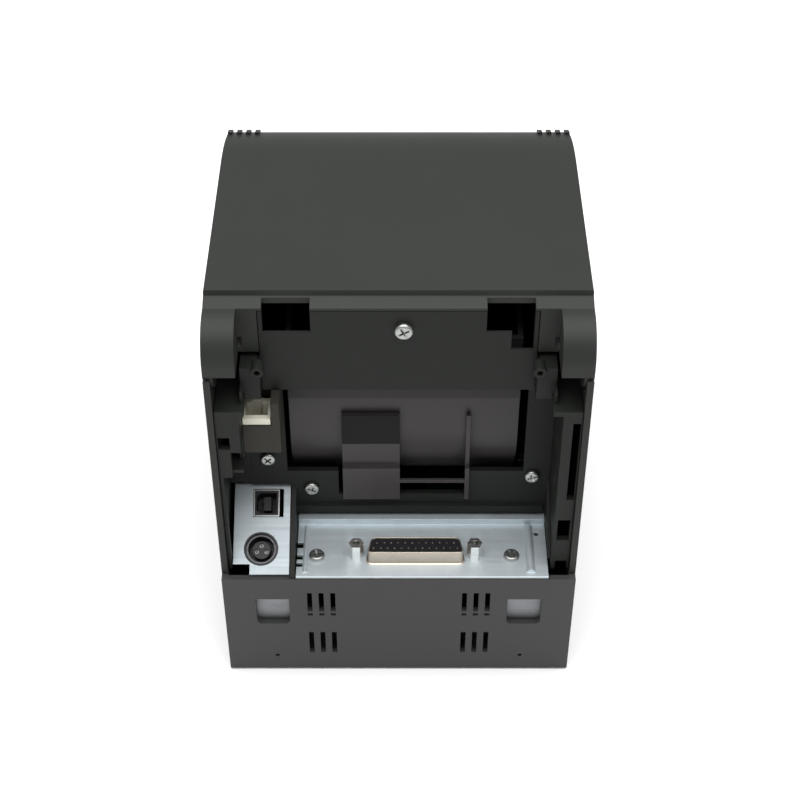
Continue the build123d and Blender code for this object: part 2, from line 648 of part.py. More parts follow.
def dsub_prism(width, height, z0, z1):
    """The D outline of the 25-way socket, wider towards the rear edge of the plate."""
    shrink = height * math.tan(math.radians(10))
    w = width / 2
    h = height / 2
    outline = make_face(Polyline(
        (-w, h), (w, h), (w - shrink, -h), (-w + shrink, -h), close=True))
    outline = fillet(outline.vertices(), 1.9)
    return Pos(DSUB_X, DSUB_Y, z0) * extrude(outline, amount=z1 - z0)


def dsub_shell():
    """The plated shell of the 25-way socket with its flange under the plate."""
    flange_z = DECK_Z - PLATE_T
    shell = dsub_prism(38.4, 8.4, flange_z - 1.0, DECK_Z + 6.2)
    shell += box(DSUB_X - 26.5, DSUB_X + 26.5, DSUB_Y - 6.2, DSUB_Y + 6.2, flange_z - 1.0, flange_z)
    shell -= dsub_prism(37.4, 7.4, flange_z - 2, DECK_Z + 7)
    for side in (1, -1):
        shell -= rod_z(1.7, flange_z - 2, DECK_Z, DSUB_X + side * DSUB_SCREW_PITCH / 2, DSUB_Y)
    return shell


def dsub_insulator():
    """The black insulator with its 13 and 12 contact holes."""
    core = dsub_prism(37.4, 7.4, DECK_Z - 6.0, DECK_Z + 5.8)
    pitch = 2.77
    row_y = 1.42
    for count, y in ((13, row_y), (12, -row_y)):
        for i in range(count):
            x = DSUB_X + (i - (count - 1) / 2) * pitch
            core -= rod_z(0.55, DECK_Z + 1.0, DECK_Z + 7, x, DSUB_Y + y)
    return core


def dsub_standoffs():
    """Two hex jack screws with threaded sockets for the plug's screws."""
    posts = []
    for side in (1, -1):
        x = DSUB_X + side * DSUB_SCREW_PITCH / 2
        hexagon = Pos(x, DSUB_Y, DECK_Z) * extrude(RegularPolygon(5.2 / math.sqrt(3), 6), amount=7.2)
        hexagon &= rod_z(2.9, DECK_Z, DECK_Z + 7.2, x, DSUB_Y)
        post = hexagon + rod_z(1.4, DECK_Z - 5, DECK_Z, x, DSUB_Y)
        post -= rod_z(1.25, DECK_Z + 0.8, DECK_Z + 8, x, DSUB_Y)
        posts.append(post)
    return posts


def interface_screws():
    """Two pan head screws that hold the interface plate."""
    top = Plane(origin=(0, 0, DECK_Z), z_dir=(0, 0, 1))
    return [pan_screw(top, x, PLATE_SCREW_Y, 3.1, 1.8, 1.2, 6.0) for x in PLATE_SCREW_X]


def interface_board():
    """The circuit board under the interface plate."""
    board = box(-57.0, 39.5, -31.0, -5.2, DECK_Z - 7.7, DECK_Z - 6.1)
    for x in PLATE_SCREW_X:
        board -= rod_z(1.5, DECK_Z - 9, DECK_Z - 5, x, PLATE_SCREW_Y)
    return board


def power_usb_plate():
    """The sloping steel plate with the USB cut-out, the round power hole and a bent side flange."""
    x0, x1 = POWER_PLATE_X
    plate = on_plane(POWER_PLANE, -x1, -x0 + 1.6, 0.8, POWER_PLATE_LEN, -PLATE_T, 0)
    plate += on_plane(POWER_PLANE, -x0 + 0.4, -x0 + 1.6, 6.0, POWER_PLATE_LEN, -7.5, 0)
    plate -= on_plane(POWER_PLANE, -x1 - 1, -59.0, -1, 5.0, -5, 1)
    plate -= on_plane(POWER_PLANE, -USB_X - 6.1, -USB_X + 6.1, USB_S - 5.8, USB_S + 5.8, -3, 1)
    plate -= round_on(POWER_PLANE, 6.8, -DIN_X, DIN_S, -3, 1)
    return plate


def usb_shell():
    """The thin steel shell of the USB socket, which leaves a gap on one side of its cut-out."""
    shell = on_plane(POWER_PLANE, -USB_X - 5.9, -USB_X + 4.4, USB_S - 5.5, USB_S + 5.5, -16.0, -0.2)
    return shell - on_plane(POWER_PLANE, -USB_X - 5.5, -USB_X + 4.0, USB_S - 5.1, USB_S + 5.1, -15.0, 1)


def usb_tongue():
    """The black body inside the USB shell, with its mouth of two cut corners and the tongue in it."""
    body = on_plane(POWER_PLANE, -USB_X - 5.5, -USB_X + 4.0, USB_S - 5.1, USB_S + 5.1, -15.0, -0.6)
    mouth = make_face(Polyline(
        (-3.4, -4.2), (3.2, -4.2), (3.2, 4.2), (-3.4, 4.2), (-4.8, 2.8), (-4.8, -2.8), close=True))
    body -= POWER_PLANE * Pos(-USB_X, USB_S, -9.0) * extrude(mouth, amount=12)
    return body + on_plane(
        POWER_PLANE, -USB_X - 2.0, -USB_X + 1.0, USB_S - 2.8, USB_S + 2.8, -9.5, -1.8)


def power_socket_shield():
    """The metal ring of the round power socket, set back inside its collar."""
    ring = round_on(POWER_PLANE, 6.0, -DIN_X, DIN_S, -11, -1.0)
    return ring - round_on(POWER_PLANE, 5.2, -DIN_X, DIN_S, -13, 1)


def power_socket_body():
    """The black body of the power socket: an outer collar and the core round the pins."""
    collar = round_on(POWER_PLANE, 6.7, -DIN_X, DIN_S, -12, 0.3)
    collar -= round_on(POWER_PLANE, 6.05, -DIN_X, DIN_S, -11, 1)
    core = round_on(POWER_PLANE, 5.15, -DIN_X, DIN_S, -12, -7.5)
    core += round_on(POWER_PLANE, 3.6, -DIN_X, DIN_S, -8, -2.5)
    for u, v in DIN_PINS:
        core -= round_on(POWER_PLANE, 0.9, -DIN_X + u, DIN_S + v, -6, 0)
    return collar + core


def power_socket_pins():
    """Three contact sleeves of the power socket."""
    sleeves = []
    for u, v in DIN_PINS:
        sleeve = round_on(POWER_PLANE, 0.88, -DIN_X + u, DIN_S + v, -5.9, -3.6)
        sleeves.append(sleeve - round_on(POWER_PLANE, 0.45, -DIN_X + u, DIN_S + v, -5.0, 0))
    return sleeves


# Paper tub

def paper_tub():
    """The round-bottomed tub that the paper roll drops into."""
    x0, x1 = TUB_X
    front_top = 122.0

    def bucket(radius, a, b):
        barrel = rod_x(radius, a, b, TUB_Y, TUB_Z) & box(a, b, -200, 0, 0, TUB_Z)
        return barrel + box(a, b, TUB_Y - radius, TUB_Y + radius, TUB_Z, TUB_TOP)

    tub = bucket(TUB_R, x0, x1) - bucket(TUB_R - TUB_WALL, x0 + TUB_WALL, x1 - TUB_WALL)
    tub -= box(x0 - 1, x1 + 1, -130, TUB_Y + 6, front_top, 170)
    face = TUB_Y + TUB_R
    return tub + side_prism([(face - 0.1, 118.2), (face + 1.6, 119.0), (face - 0.1, 124.5)], x0, x1)


def tub_bridge():
    """The bracket on the frame below the window, stepped back through it and up behind the tub."""
    foot_y = (BACK_Y + 0.05, BACK_Y + 1.3)
    back_y = (BACK_Y - 3.0, BACK_Y - 1.0)
    step_z = (WINDOW_Z[0] + 0.4, WINDOW_Z[0] + 2.4)
    foot_z = NOTCH_Z - 1.7
    parts = []
    for x0, x1, top in ((-0.5, 22.2, 110.9), (-28.0, -26.3, 110.5)):
        parts.append(box(x0, x1, *foot_y, foot_z, step_z[1]))
        parts.append(box(x0, x1, back_y[0], foot_y[1], *step_z))
        parts.append(box(x0, x1, *back_y, step_z[0], top))
    parts.append(box(-28.0, 0.0, *foot_y, 76.3, 77.7))
    bridge = joined(parts)
    return bridge - box(-1, 23, BACK_Y - 1.5, BACK_Y, 95.6, 112)


def paper_sensor():
    """The small light barrier under the paper path, in front of the tub."""
    return box(PATH_X - 6, PATH_X + 6, -134.0, -128.0, 134.5, 140.5) + box(
        PATH_X - 9, PATH_X + 9, -134.0, -132.6, 131.0, 141.0)


# Mechanism

def mech_frame():
    """The folded steel frame: two side plates with open slots for the platen, and a cross plate."""
    outline = [(-118, 152), (-118, 118), (-128.5, 92), (-170, 92), (-170, 138), (-156, 149), (-147, 155),
               (-118, 155)]
    parts = []
    for x in SIDE_X:
        plate = side_prism(outline, x, x + SIDE_T)
        plate -= rod_x(BUSH_R + 0.3, x - 1, x + 3, PLATEN_Y, PLATEN_Z)
        plate -= box(x - 1, x + 3, PLATEN_Y - BUSH_R - 0.3, PLATEN_Y + BUSH_R + 0.3, PLATEN_Z, 160)
        plate -= rod_x(LATCH_R + 0.06, x - 1, x + 3, LATCH_Y, LATCH_Z)
        plate -= rod_x(HEAD_PIVOT_R + 0.06, x - 1, x + 3, *HEAD_PIVOT)
        parts.append(plate)
    plus = SIDE_X[1]
    parts[1] -= rod_x(3.0, plus - 1, plus + 3, MOTOR_Y, MOTOR_Z)
    parts.append(box(SIDE_X[0], SIDE_X[1] + SIDE_T, -170, -128.6, 92, 93.5))
    parts.append(rod_x(2.0, SIDE_X[1], GEAR_X + GEAR_W + 1.0, PLATEN_Y, IDLER_Z))
    return joined(parts)


def tray_posts():
    """Moulded posts on the tray: four tall ones under the mechanism and six short ones for the board."""
    posts = []
    for x in TALL_POST_X:
        for y in TALL_POST_Y:
            posts.append(rod_z(4.0, FLOOR_TOP, 92.0, x, y) - rod_z(1.2, 80, 93, x, y))
    for side in (1, -1):
        for y in BOARD_POST_Y:
            posts.append(rod_z(3.0, FLOOR_TOP, BOARD_Z, side * BOARD_POST_X, y))
    return posts


def latch_shaft():
    """The shaft behind the front cover with a hook at each end that holds the platen bushes down."""
    parts = [rod_x(LATCH_R, SIDE_X[0] - 1.5, SIDE_X[1] + 2.6, LATCH_Y, LATCH_Z)]
    hook = [(LATCH_Y + 2, LATCH_Z - 4), (LATCH_Y - 3, LATCH_Z - 4), (-149, 149), (-145, 154),
            (-135.6, 154), (-135.6, 151.6), (-141.5, 150.5), (-144, 146)]
    for x in (SIDE_X[0] + 2.2, SIDE_X[1] - 2.7):
        parts.append(side_prism(hook, x, x + 2.0))
    return joined(parts)


def thermal_head():
    """The ceramic print head that presses the paper on the platen."""
    return box(PATH_X - 41, PATH_X + 41, -138.9, -137.6, 138.0, 153.0)


def heat_sink():
    """The finned block behind the print head."""
    sink = box(PATH_X - 41, PATH_X + 41, -144.0, -138.9, 137.0, 153.0)
    for i in range(16):
        x = PATH_X - 37.5 + 5 * i
        sink -= box(x - 1.5, x + 1.5, -146, -141.4, 140, 154)
    return sink + rod_x(HEAD_PIVOT_R, SIDE_X[0], SIDE_X[1] + SIDE_T, *HEAD_PIVOT)


def head_springs():
    """Two coil springs, drawn as sleeves, between the heat sink and the guide's web."""
    springs = []
    for x in (-30.0, 25.0):
        springs.append(rod_y(2.6, -148.9, -144.05, x, 147.0) - rod_y(1.7, -150, -143, x, 147.0))
    return springs


def cutter_body():
    """The guide that the moving blade slides on, with a web down to the head springs."""
    guide = box(PATH_X - 48, PATH_X + 47, -149.4, -141.0, 155.0, 157.3)
    guide += box(PATH_X - 38, PATH_X + 36, -150.4, -149.0, 143.0, 157.3)
    return guide


def cutter_blade():
    """The moving blade: a thin plate with a shallow V edge towards the rear."""
    outline = [(-44.0, -149.2), (42.0, -149.2), (42.0, -142.6), (0.0, -141.2), (-3.0, -141.2),
               (-44.0, -142.6)]
    return extrude(Plane.XY.offset(157.4) * make_face(Polyline(*outline, close=True)), amount=0.8)


def cutter_motor():
    """The small motor that drives the cutter, lying across the front with its gear case."""
    motor = rod_x(6.0, -21, 5, -163.0, 137.0)
    return motor + box(-27, -21, -168.0, -157.5, 131.5, 141.0)


def feed_motor():
    """The stepping motor that drives the paper feed."""
    x1 = SIDE_X[1] - 0.1
    motor = rod_x(MOTOR_R, x1 - 22, x1, MOTOR_Y, MOTOR_Z)
    motor += rod_x(2.9, x1, x1 + 1.8, MOTOR_Y, MOTOR_Z)
    motor = chamfer(motor.edges().group_by(Axis.X)[0], 0.8)
    return motor - rod_x(1.05, x1 - 5, x1 + 5, MOTOR_Y, MOTOR_Z)


def motor_pinion():
    """The motor's shaft with its small gear."""
    to_idler = math.degrees(MOTOR_ANGLE) - 180
    pinion = gear(PINION_TEETH, GEAR_X, GEAR_W, MOTOR_Y, MOTOR_Z, to_idler + pinion_phase(), 0.9)
    return pinion + rod_x(1.0, SIDE_X[1] - 4.0, GEAR_X + GEAR_W + 1, MOTOR_Y, MOTOR_Z)


def idler_phase():
    """The idler's turn, so that a gap faces a platen tooth straight above it."""
    return 90 + 180 / IDLER_TEETH


def pinion_phase():
    """The pinion's turn from its line to the idler, so that its tooth meets an idler gap."""
    step = 360 / IDLER_TEETH
    offset = (math.degrees(MOTOR_ANGLE) - idler_phase()) % step
    return 180 / PINION_TEETH + offset * IDLER_TEETH / PINION_TEETH


def idler_gear():
    """The gear between the motor and the platen."""
    wheel = gear(IDLER_TEETH, GEAR_X, GEAR_W, PLATEN_Y, IDLER_Z, idler_phase(), 2.05)
    for i in range(5):
        angle = 2 * math.pi * i / 5
        y = PLATEN_Y + 8 * math.cos(angle)
        z = IDLER_Z + 8 * math.sin(angle)
        wheel -= rod_x(2.6, GEAR_X - 1, GEAR_X + GEAR_W + 1, y, z)
    return wheel


def platen_roller():
    """The rubber roller."""
    roller = rod_x(PLATEN_R, PATH_X - 41, PATH_X + 41, PLATEN_Y, PLATEN_Z)
    return roller - rod_x(SHAFT_R, -60, 60, PLATEN_Y, PLATEN_Z)


def platen_shaft():
    """The steel shaft through the roller."""
    return rod_x(SHAFT_R, SIDE_X[0] - 1.0, GEAR_X + GEAR_W + 0.6, PLATEN_Y, PLATEN_Z)


def platen_gear():
    """The gear on the shaft's end."""
    return gear(PLATEN_TEETH, GEAR_X, GEAR_W, PLATEN_Y, PLATEN_Z, -90, SHAFT_R)


def platen_bushings():
    """Two bushes that carry the shaft and drop into the slots of the side plates."""
    bushes = []
    for x0, x1 in ((SIDE_X[0] - 0.4, HOLDER_X[0] + 1.5), (HOLDER_X[1], SIDE_X[1] + SIDE_T + 0.4)):
        bush = rod_x(BUSH_R, x0, x1, PLATEN_Y, PLATEN_Z)
        bushes.append(bush - rod_x(SHAFT_R + 0.05, x0 - 1, x1 + 1, PLATEN_Y, PLATEN_Z))
    return bushes


def platen_holder():
    """The steel bracket in the cover that holds the bushes, with a wide slot for the roller."""
    x0, x1 = HOLDER_X
    holder = box(x0, x1 + SIDE_T, -136.0, -117.0, 161.2, 162.6)
    for x in (x0, x1):
        arm = side_prism([(-136, 162), (-123, 162), (-123, 146), (-127, 142.5), (-133, 142.5), (-136, 146)],
                         x, x + SIDE_T)
        arm -= rod_x(BUSH_R, x - 1, x + 3, PLATEN_Y, PLATEN_Z)
        holder += arm
    return holder


def fixed_blade():
    """The fixed blade on the cover's bracket, just above the roller."""
    blade = box(PATH_X - 44, PATH_X + 43, -137.3, -126.0, 156.4, 157.2)
    for x in (PATH_X - 40, PATH_X + 39):
        blade += box(x - 2, x + 2, -131, -126, 157.2, 161.2)
    return blade


# Boards and supports inside the base

def main_board():
    """The main circuit board on its posts."""
    board = box(-60, 60, -192, -34, BOARD_Z, BOARD_Z + BOARD_T)
    for side in (1, -1):
        for y in BOARD_POST_Y:
            board -= rod_z(1.3, BOARD_Z - 1, BOARD_Z + 3, side * BOARD_POST_X, y)
    for x in TALL_POST_X:
        for y in TALL_POST_Y:
            board -= rod_z(4.6, BOARD_Z - 1, BOARD_Z + 3, x, y)
    return board


def board_parts():
    """Processor, memory, connectors and capacitors on the main board."""
    top = BOARD_Z + BOARD_T
    parts = [box(-12, 12, -100, -76, top, top + 2.4), box(22, 40, -96, -84, top, top + 1.6),
             box(-44, -26, -92, -80, top, top + 1.6), box(-30, 30, -52, -44, top, top + 9.0),
             box(44, 54, -70, -50, top, top + 7.0), box(-54, -46, -72, -48, top, top + 7.0)]
    for i, (x, y) in enumerate(((28, -66), (38, -66), (-36, -62))):
        parts.append(rod_z(4.0, top, top + 14 + i, x, y))
    return parts


def chassis_plate():
    """The folded steel plate inside the rear panel, seen through its two windows."""
    plate = box(-64, 64, -32.0, -3.4, FLOOR_TOP, FLOOR_TOP + 1.2)
    for side in (1, -1):
        plate += box(side * 41, side * 61, -4.6, -3.4, FLOOR_TOP, DECK_Z - 5)
    return plate


def board_screws():
    """Six screws that hold the main board on the posts of the tray."""
    screws = []
    for side in (1, -1):
        for y in BOARD_POST_Y:
            top = Plane(origin=(side * BOARD_POST_X, y, BOARD_Z + BOARD_T), x_dir=(1, 0, 0), z_dir=(0, 0, 1))
            screws.append(pan_screw(top, 0, 0, 2.6, 1.8, 1.2, BOARD_T))
    return screws


def make_parts():
    """Every node and its solids."""
    return {
        "base_tray": base_tray(), "rear_panel": rear_panel(), "main_case": main_case(),
        "front_cover": front_cover(), "rear_frame": rear_frame(), "centre_panel": centre_panel(),
        "frame_pillars": frame_pillars(), "hinge_brackets": hinge_brackets(),
        "cover_shell": cover_shell(), "cover_inner": cover_inner(),
        "hinge_pins": hinge_pins(), "rubber_feet": rubber_feet(), "frame_screws": frame_screws(),
        "centre_screw": centre_screw(), "jack_block": jack_block(), "drawer_jack": drawer_jack(),
        "jack_contacts": jack_contacts(), "interface_plate": interface_plate(),
        "dsub_shell": dsub_shell(), "dsub_insulator": dsub_insulator(),
        "dsub_standoffs": dsub_standoffs(), "interface_screws": interface_screws(),
        "interface_board": interface_board(), "power_usb_plate": power_usb_plate(),
        "usb_shell": usb_shell(), "usb_tongue": usb_tongue(),
        "power_socket_shield": power_socket_shield(), "power_socket_body": power_socket_body(),
        "power_socket_pins": power_socket_pins(), "paper_tub": paper_tub(),
        "tub_bridge": tub_bridge(), "paper_sensor": paper_sensor(), "mech_frame": mech_frame(),
        "tray_posts": tray_posts(), "latch_shaft": latch_shaft(),
        "thermal_head": thermal_head(), "heat_sink": heat_sink(), "head_springs": head_springs(),
        "cutter_body": cutter_body(), "cutter_blade": cutter_blade(),
        "cutter_motor": cutter_motor(), "feed_motor": feed_motor(), "motor_pinion": motor_pinion(),
        "idler_gear": idler_gear(), "platen_roller": platen_roller(),
        "platen_shaft": platen_shaft(), "platen_gear": platen_gear(),
        "platen_bushings": platen_bushings(), "platen_holder": platen_holder(),
        "fixed_blade": fixed_blade(), "main_board": main_board(), "board_parts": board_parts(),
        "chassis_plate": chassis_plate(), "board_screws": board_screws(),
        "control_panel": control_panel(), "feed_button": feed_button(),
        "status_leds": status_leds(), "release_button": release_button(),
        "power_rocker": power_rocker(), "rocker_frame": rocker_frame(),
    }


def main():
    os.makedirs("parts", exist_ok=True)
    to_origin = Pos(0, DEPTH / 2, FOOT_H)
    for name, shape in make_parts().items():
        if not isinstance(shape, list):
            shape = [shape]
        solids = [to_origin * solid for piece in shape for solid in piece.solids()]
        node = Compound(children=solids) if len(solids) > 1 else solids[0]
        export_step(node, f"parts/{name}.step")
        print(f"{name}: {len(solids)} solids, {sum(s.volume for s in solids):.0f} mm3")


if __name__ == "__main__":
    main()
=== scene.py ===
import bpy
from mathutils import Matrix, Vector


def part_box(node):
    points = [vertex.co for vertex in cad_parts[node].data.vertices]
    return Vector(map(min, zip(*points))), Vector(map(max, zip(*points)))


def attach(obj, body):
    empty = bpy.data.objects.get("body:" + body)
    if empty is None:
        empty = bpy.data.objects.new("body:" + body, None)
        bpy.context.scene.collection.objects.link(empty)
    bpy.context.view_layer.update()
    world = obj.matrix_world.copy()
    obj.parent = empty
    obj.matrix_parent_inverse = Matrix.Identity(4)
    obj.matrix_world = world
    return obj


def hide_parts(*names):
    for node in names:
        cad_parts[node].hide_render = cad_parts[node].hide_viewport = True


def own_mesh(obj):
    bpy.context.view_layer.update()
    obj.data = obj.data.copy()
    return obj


bl_info = {
    "name": "Receipt Printer",
    "version": (1, 0, 0),
    "blender": (4, 5, 0),
    "location": "View3D > Sidebar > Printer",
    "description": "Dresses the solids of a receipt printer with screws, contacts, springs and finishes",
    "category": "Object",
}

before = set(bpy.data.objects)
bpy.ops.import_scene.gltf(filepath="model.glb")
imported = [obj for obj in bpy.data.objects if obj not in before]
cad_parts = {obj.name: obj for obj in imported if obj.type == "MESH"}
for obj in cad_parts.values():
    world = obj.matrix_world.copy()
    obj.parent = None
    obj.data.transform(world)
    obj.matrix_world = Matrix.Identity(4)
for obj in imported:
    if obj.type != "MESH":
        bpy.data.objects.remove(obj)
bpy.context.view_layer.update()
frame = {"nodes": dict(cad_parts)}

import math

import bmesh
import bpy
from mathutils import Matrix, Vector

MM = 0.001

# The camera stands behind and above the printer, and looks at its rear
CAMERA_PLACE = Vector((-0.55, 542.1, 554.4)) * MM
CAMERA_DOWN = 42.4
PHOTO_PIXELS = 800
FOCAL_PIXELS = 1675
SENSOR = 36.0
CAMERA_CLIP = 0.01

# The stage
FLOOR_SIZE = 12.0
LAMP_PLACE = (0.0, 0.1, 1.25)
LAMP_AIM = (0.0, 0.0, 0.08)
LAMP_SIZE = 1.4

# How strongly the painted highlight on the soft edges shows in plastic and in metal, and how bright a metal
# edge's painted highlight is
EDGE_GAIN = 5.0
PLASTIC_EDGE = 0.35
METAL_EDGE = 0.6
METAL_EDGE_BRIGHT = 1.35

# Each group of screws: its node, the way its heads face, the head's radius and height, the shank's
# radius and length, and the turn of each screw
SCREWS = (
    ("frame_screws", "rear", 3.0 * MM, 1.9 * MM, 1.0 * MM, 5.0 * MM, (0.3, 1.1, 0.75)),
    ("centre_screw", "rear", 3.5 * MM, 2.4 * MM, 1.2 * MM, 4.4 * MM, (0.5,)),
    ("interface_screws", "up", 3.1 * MM, 1.8 * MM, 1.2 * MM, 6.0 * MM, (0.6, 0.2)),
    ("board_screws", "up", 2.6 * MM, 1.8 * MM, 1.2 * MM, 1.6 * MM, (0.1, 0.9, 0.4, 0.7, 1.2, 0.3)),
)
# The head's dome and its rounded underside as shares of its height, and the shank's grooves
DOME = 0.52
UNDERSIDE = 0.08
GROOVE_STEP = 0.5 * MM
GROOVE = 0.86

# The thin dark pad, from the tub bracket's highest corner
PAD_LEFT = 22.6 * MM
PAD_RIGHT = 0.1 * MM
PAD_BOTTOM = 15.2 * MM
PAD_TOP = 0.1 * MM
PAD_MIDDLE = 2.55 * MM
PAD_THICK = 0.45 * MM

# The wide socket: its drawn shell, its flange and its contact sleeves
SHELL_WIDTH = 38.4 * MM
SHELL_DEPTH = 8.4 * MM
SHELL_SLANT = 10
SHELL_CORNER = 1.9 * MM
SHELL_WALL = 0.5 * MM
SHELL_ROOT = 2.2 * MM
SHELL_LIP = 0.18 * MM
COVE = 0.9 * MM
COVE_STEPS = 4
FLANGE = 1.0 * MM
FLANGE_CORNER = 2.5 * MM
CONTACT_PITCH = 2.77 * MM
CONTACT_ROWS = ((13, 1.42 * MM), (12, -1.42 * MM))
CONTACT_LENGTH = 1.2 * MM
CONTACT_SINK = 0.75 * MM
CONTACT_BORE = 0.8 * MM


# Settings that a user would change

def colour(name, description, default):
    """A colour setting."""
    return bpy.props.FloatVectorProperty(
        name=name, description=description, subtype="COLOR", size=3, min=0, max=1, default=default)


def length(name, description, default):
    """A length setting in metres."""
    return bpy.props.FloatProperty(name=name, description=description, unit="LENGTH", min=0, default=default)


def share(name, description, default):
    """A setting from 0 to 1."""
    return bpy.props.FloatProperty(
        name=name, description=description, subtype="FACTOR", min=0, max=1, default=default)


class PlasticSettings(bpy.types.PropertyGroup):
    case: colour("Case", "Colour of the cover, the case and the front cover", (0.018, 0.020, 0.0175))
    tray: colour("Tray", "Colour of the tray and the lower rear panel", (0.042, 0.043, 0.042))
    # The rear frame colour is darker than the case's: painted shade of the rear recess
    frame: colour("Rear frame", "Colour of the mouldings in the rear recess", (0.0125, 0.0140, 0.0122))
    tub: colour("Tub", "Colour of the paper tub and its bracket", (0.042, 0.038, 0.039))
    jack: colour("Jack", "Colour of the drawer jack", (0.62, 0.60, 0.50))
    block: colour("Jack block", "Colour of the moulding round the drawer jack", (0.027, 0.025, 0.020))
    black: colour("Black parts", "Colour of the sockets' insulators", (0.012, 0.012, 0.014))
    grain: length("Grain", "Size of the moulded grain", 0.0005)
    edge: length("Edge radius", "Radius of the soft edge on moulded parts", 0.0004)
    sheen: share("Sheen", "How strongly the moulded parts reflect", 0.2)


class MetalSettings(bpy.types.PropertyGroup):
    zinc: colour("Upper plate", "Colour of the plate with the wide socket", (0.60, 0.66, 0.69))
    lower: colour("Lower plate", "Colour of the sloping plate with the small sockets", (0.38, 0.42, 0.44))
    chassis: colour("Chassis", "Colour of the steel behind the tray's windows", (0.24, 0.25, 0.26))
    screw: colour("Screws", "Colour of the bright screws", (0.36, 0.37, 0.355))
    post: colour("Hex posts", "Colour of the wide socket's hex posts", (0.72, 0.72, 0.70))
    nickel: colour("Socket shell", "Colour of the wide socket's shell", (0.50, 0.435, 0.365))
    gold: colour("Contacts", "Colour of the contact plating", (0.55, 0.52, 0.46))
    edge: length("Edge radius", "Radius of the soft edge on sheet metal", 0.00025)


class DetailSettings(bpy.types.PropertyGroup):
    recess: share("Cross recess", "Depth of a screw's recess as a share of its head's height", 0.62)
    contact: length("Contact radius", "Outside radius of a contact sleeve in the wide socket", 0.00052)
    wire: length("Spring wire", "Radius of the head springs' wire", 0.00035)
    turns: bpy.props.IntProperty(name="Spring turns", description="Turns of a head spring", min=2, default=5)


class StageSettings(bpy.types.PropertyGroup):
    floor: colour("Floor", "Colour of the floor", (0.92, 0.92, 0.92))
    lamp: bpy.props.FloatProperty(
        name="Lamp", description="Power of the large soft lamp", subtype="POWER", min=0, default=26)
    sky: share("Sky", "Strength of the even light from all round", 0.60)


# Shader helpers

def node(tree, kind, inputs=None, **settings):
    """Adds a shader node; an input is a value or another node's output."""
    made = tree.nodes.new("ShaderNode" + kind)
    for name, value in settings.items():
        setattr(made, name, value)
    for name, value in (inputs or {}).items():
        socket = made.inputs[name]
        if isinstance(value, bpy.types.NodeSocket):
            tree.links.new(value, socket)
        else:
            socket.default_value = value
    return made


def maths(tree, operation, first, second, clamp=False):
    """A sum of two numbers, and its output."""
    return node(tree, "Math", {0: first, 1: second}, operation=operation, use_clamp=clamp).outputs[0]


def blend_colours(tree, factor, first, second):
    """A mix of two colours, and its output."""
    made = node(tree, "Mix", data_type="RGBA")
    for index, value in ((0, factor), (6, first), (7, second)):
        if isinstance(value, bpy.types.NodeSocket):
            tree.links.new(value, made.inputs[index])
        else:
            made.inputs[index].default_value = value
    return made.outputs[2]


def new_group(name, inputs, outputs):
    """An empty node group with named float, colour or vector sockets, and its two end nodes."""
    tree = bpy.data.node_groups.new(name, "ShaderNodeTree")
    for label, default in inputs:
        socket = tree.interface.new_socket(label, in_out="INPUT", socket_type="NodeSocketFloat")
        socket.default_value = default
    for label, kind in outputs:
        tree.interface.new_socket(label, in_out="OUTPUT", socket_type="NodeSocket" + kind)
    return tree, tree.nodes.new("NodeGroupInput"), tree.nodes.new("NodeGroupOutput")


def grain_group():
    """Moulded grain: a fine height, and a broad mottle that shifts colour and gloss a little."""
    tree, start, end = new_group("Moulded Grain", [("Fine Scale", 2000.0), ("Broad Scale", 40.0)],
                                 [("Height", "Float"), ("Mottle", "Float")])
    place = node(tree, "TexCoord").outputs["Object"]
    fine = node(tree, "TexNoise", {"Vector": place, "Scale": start.outputs["Fine Scale"], "Detail": 3.0,
                                   "Roughness": 0.6})
    broad = node(tree, "TexNoise", {"Vector": place, "Scale": start.outputs["Broad Scale"], "Detail": 4.0,
                                    "Roughness": 0.55})
    tree.links.new(fine.outputs[0], end.inputs["Height"])
    tree.links.new(broad.outputs[0], end.inputs["Mottle"])
    return tree


def edge_group():
    """Soft edges: a rounded normal, and a mask of the outer and inner edges, which the finishes use for a
    painted edge highlight.
    """
    tree, start, end = new_group("Soft Edges", [("Radius", 0.0003)],
                                 [("Normal", "Vector"), ("Edge", "Float")])
    rounded = node(tree, "Bevel", {"Radius": start.outputs["Radius"]}, samples=4)
    plain = node(tree, "NewGeometry").outputs["Normal"]
    along = node(tree, "VectorMath", {0: rounded.outputs["Normal"], 1: plain}, operation="DOT_PRODUCT")
    turned = maths(tree, "SUBTRACT", 1.0, along.outputs["Value"])
    tree.links.new(rounded.outputs["Normal"], end.inputs["Normal"])
    tree.links.new(maths(tree, "MULTIPLY", turned, EDGE_GAIN, clamp=True), end.inputs["Edge"])
    return tree


def spangle_group():
    """Zinc plating: soft crystal patches and faint rolling lines."""
    tree, start, end = new_group("Zinc Plating", [("Patch Scale", 220.0), ("Line Scale", 900.0)],
                                 [("Patches", "Float"), ("Lines", "Float")])
    place = node(tree, "TexCoord").outputs["Object"]
    cells = node(tree, "TexVoronoi", {"Vector": place, "Scale": start.outputs["Patch Scale"]})
    tone = node(tree, "SeparateColor", {"Color": cells.outputs["Color"]}).outputs[0]
    cloud = node(tree, "TexNoise", {"Vector": place, "Scale": 60.0, "Detail": 5.0})
    both = maths(tree, "ADD", tone, cloud.outputs[0])
    tree.links.new(maths(tree, "MULTIPLY", both, 0.5), end.inputs["Patches"])
    stretched = node(tree, "Mapping", {"Vector": place, "Scale": (0.02, 1.0, 1.0)})
    lines = node(tree, "TexNoise", {"Vector": stretched.outputs[0], "Scale": start.outputs["Line Scale"],
                                    "Detail": 2.0})
    tree.links.new(lines.outputs[0], end.inputs["Lines"])
    return tree


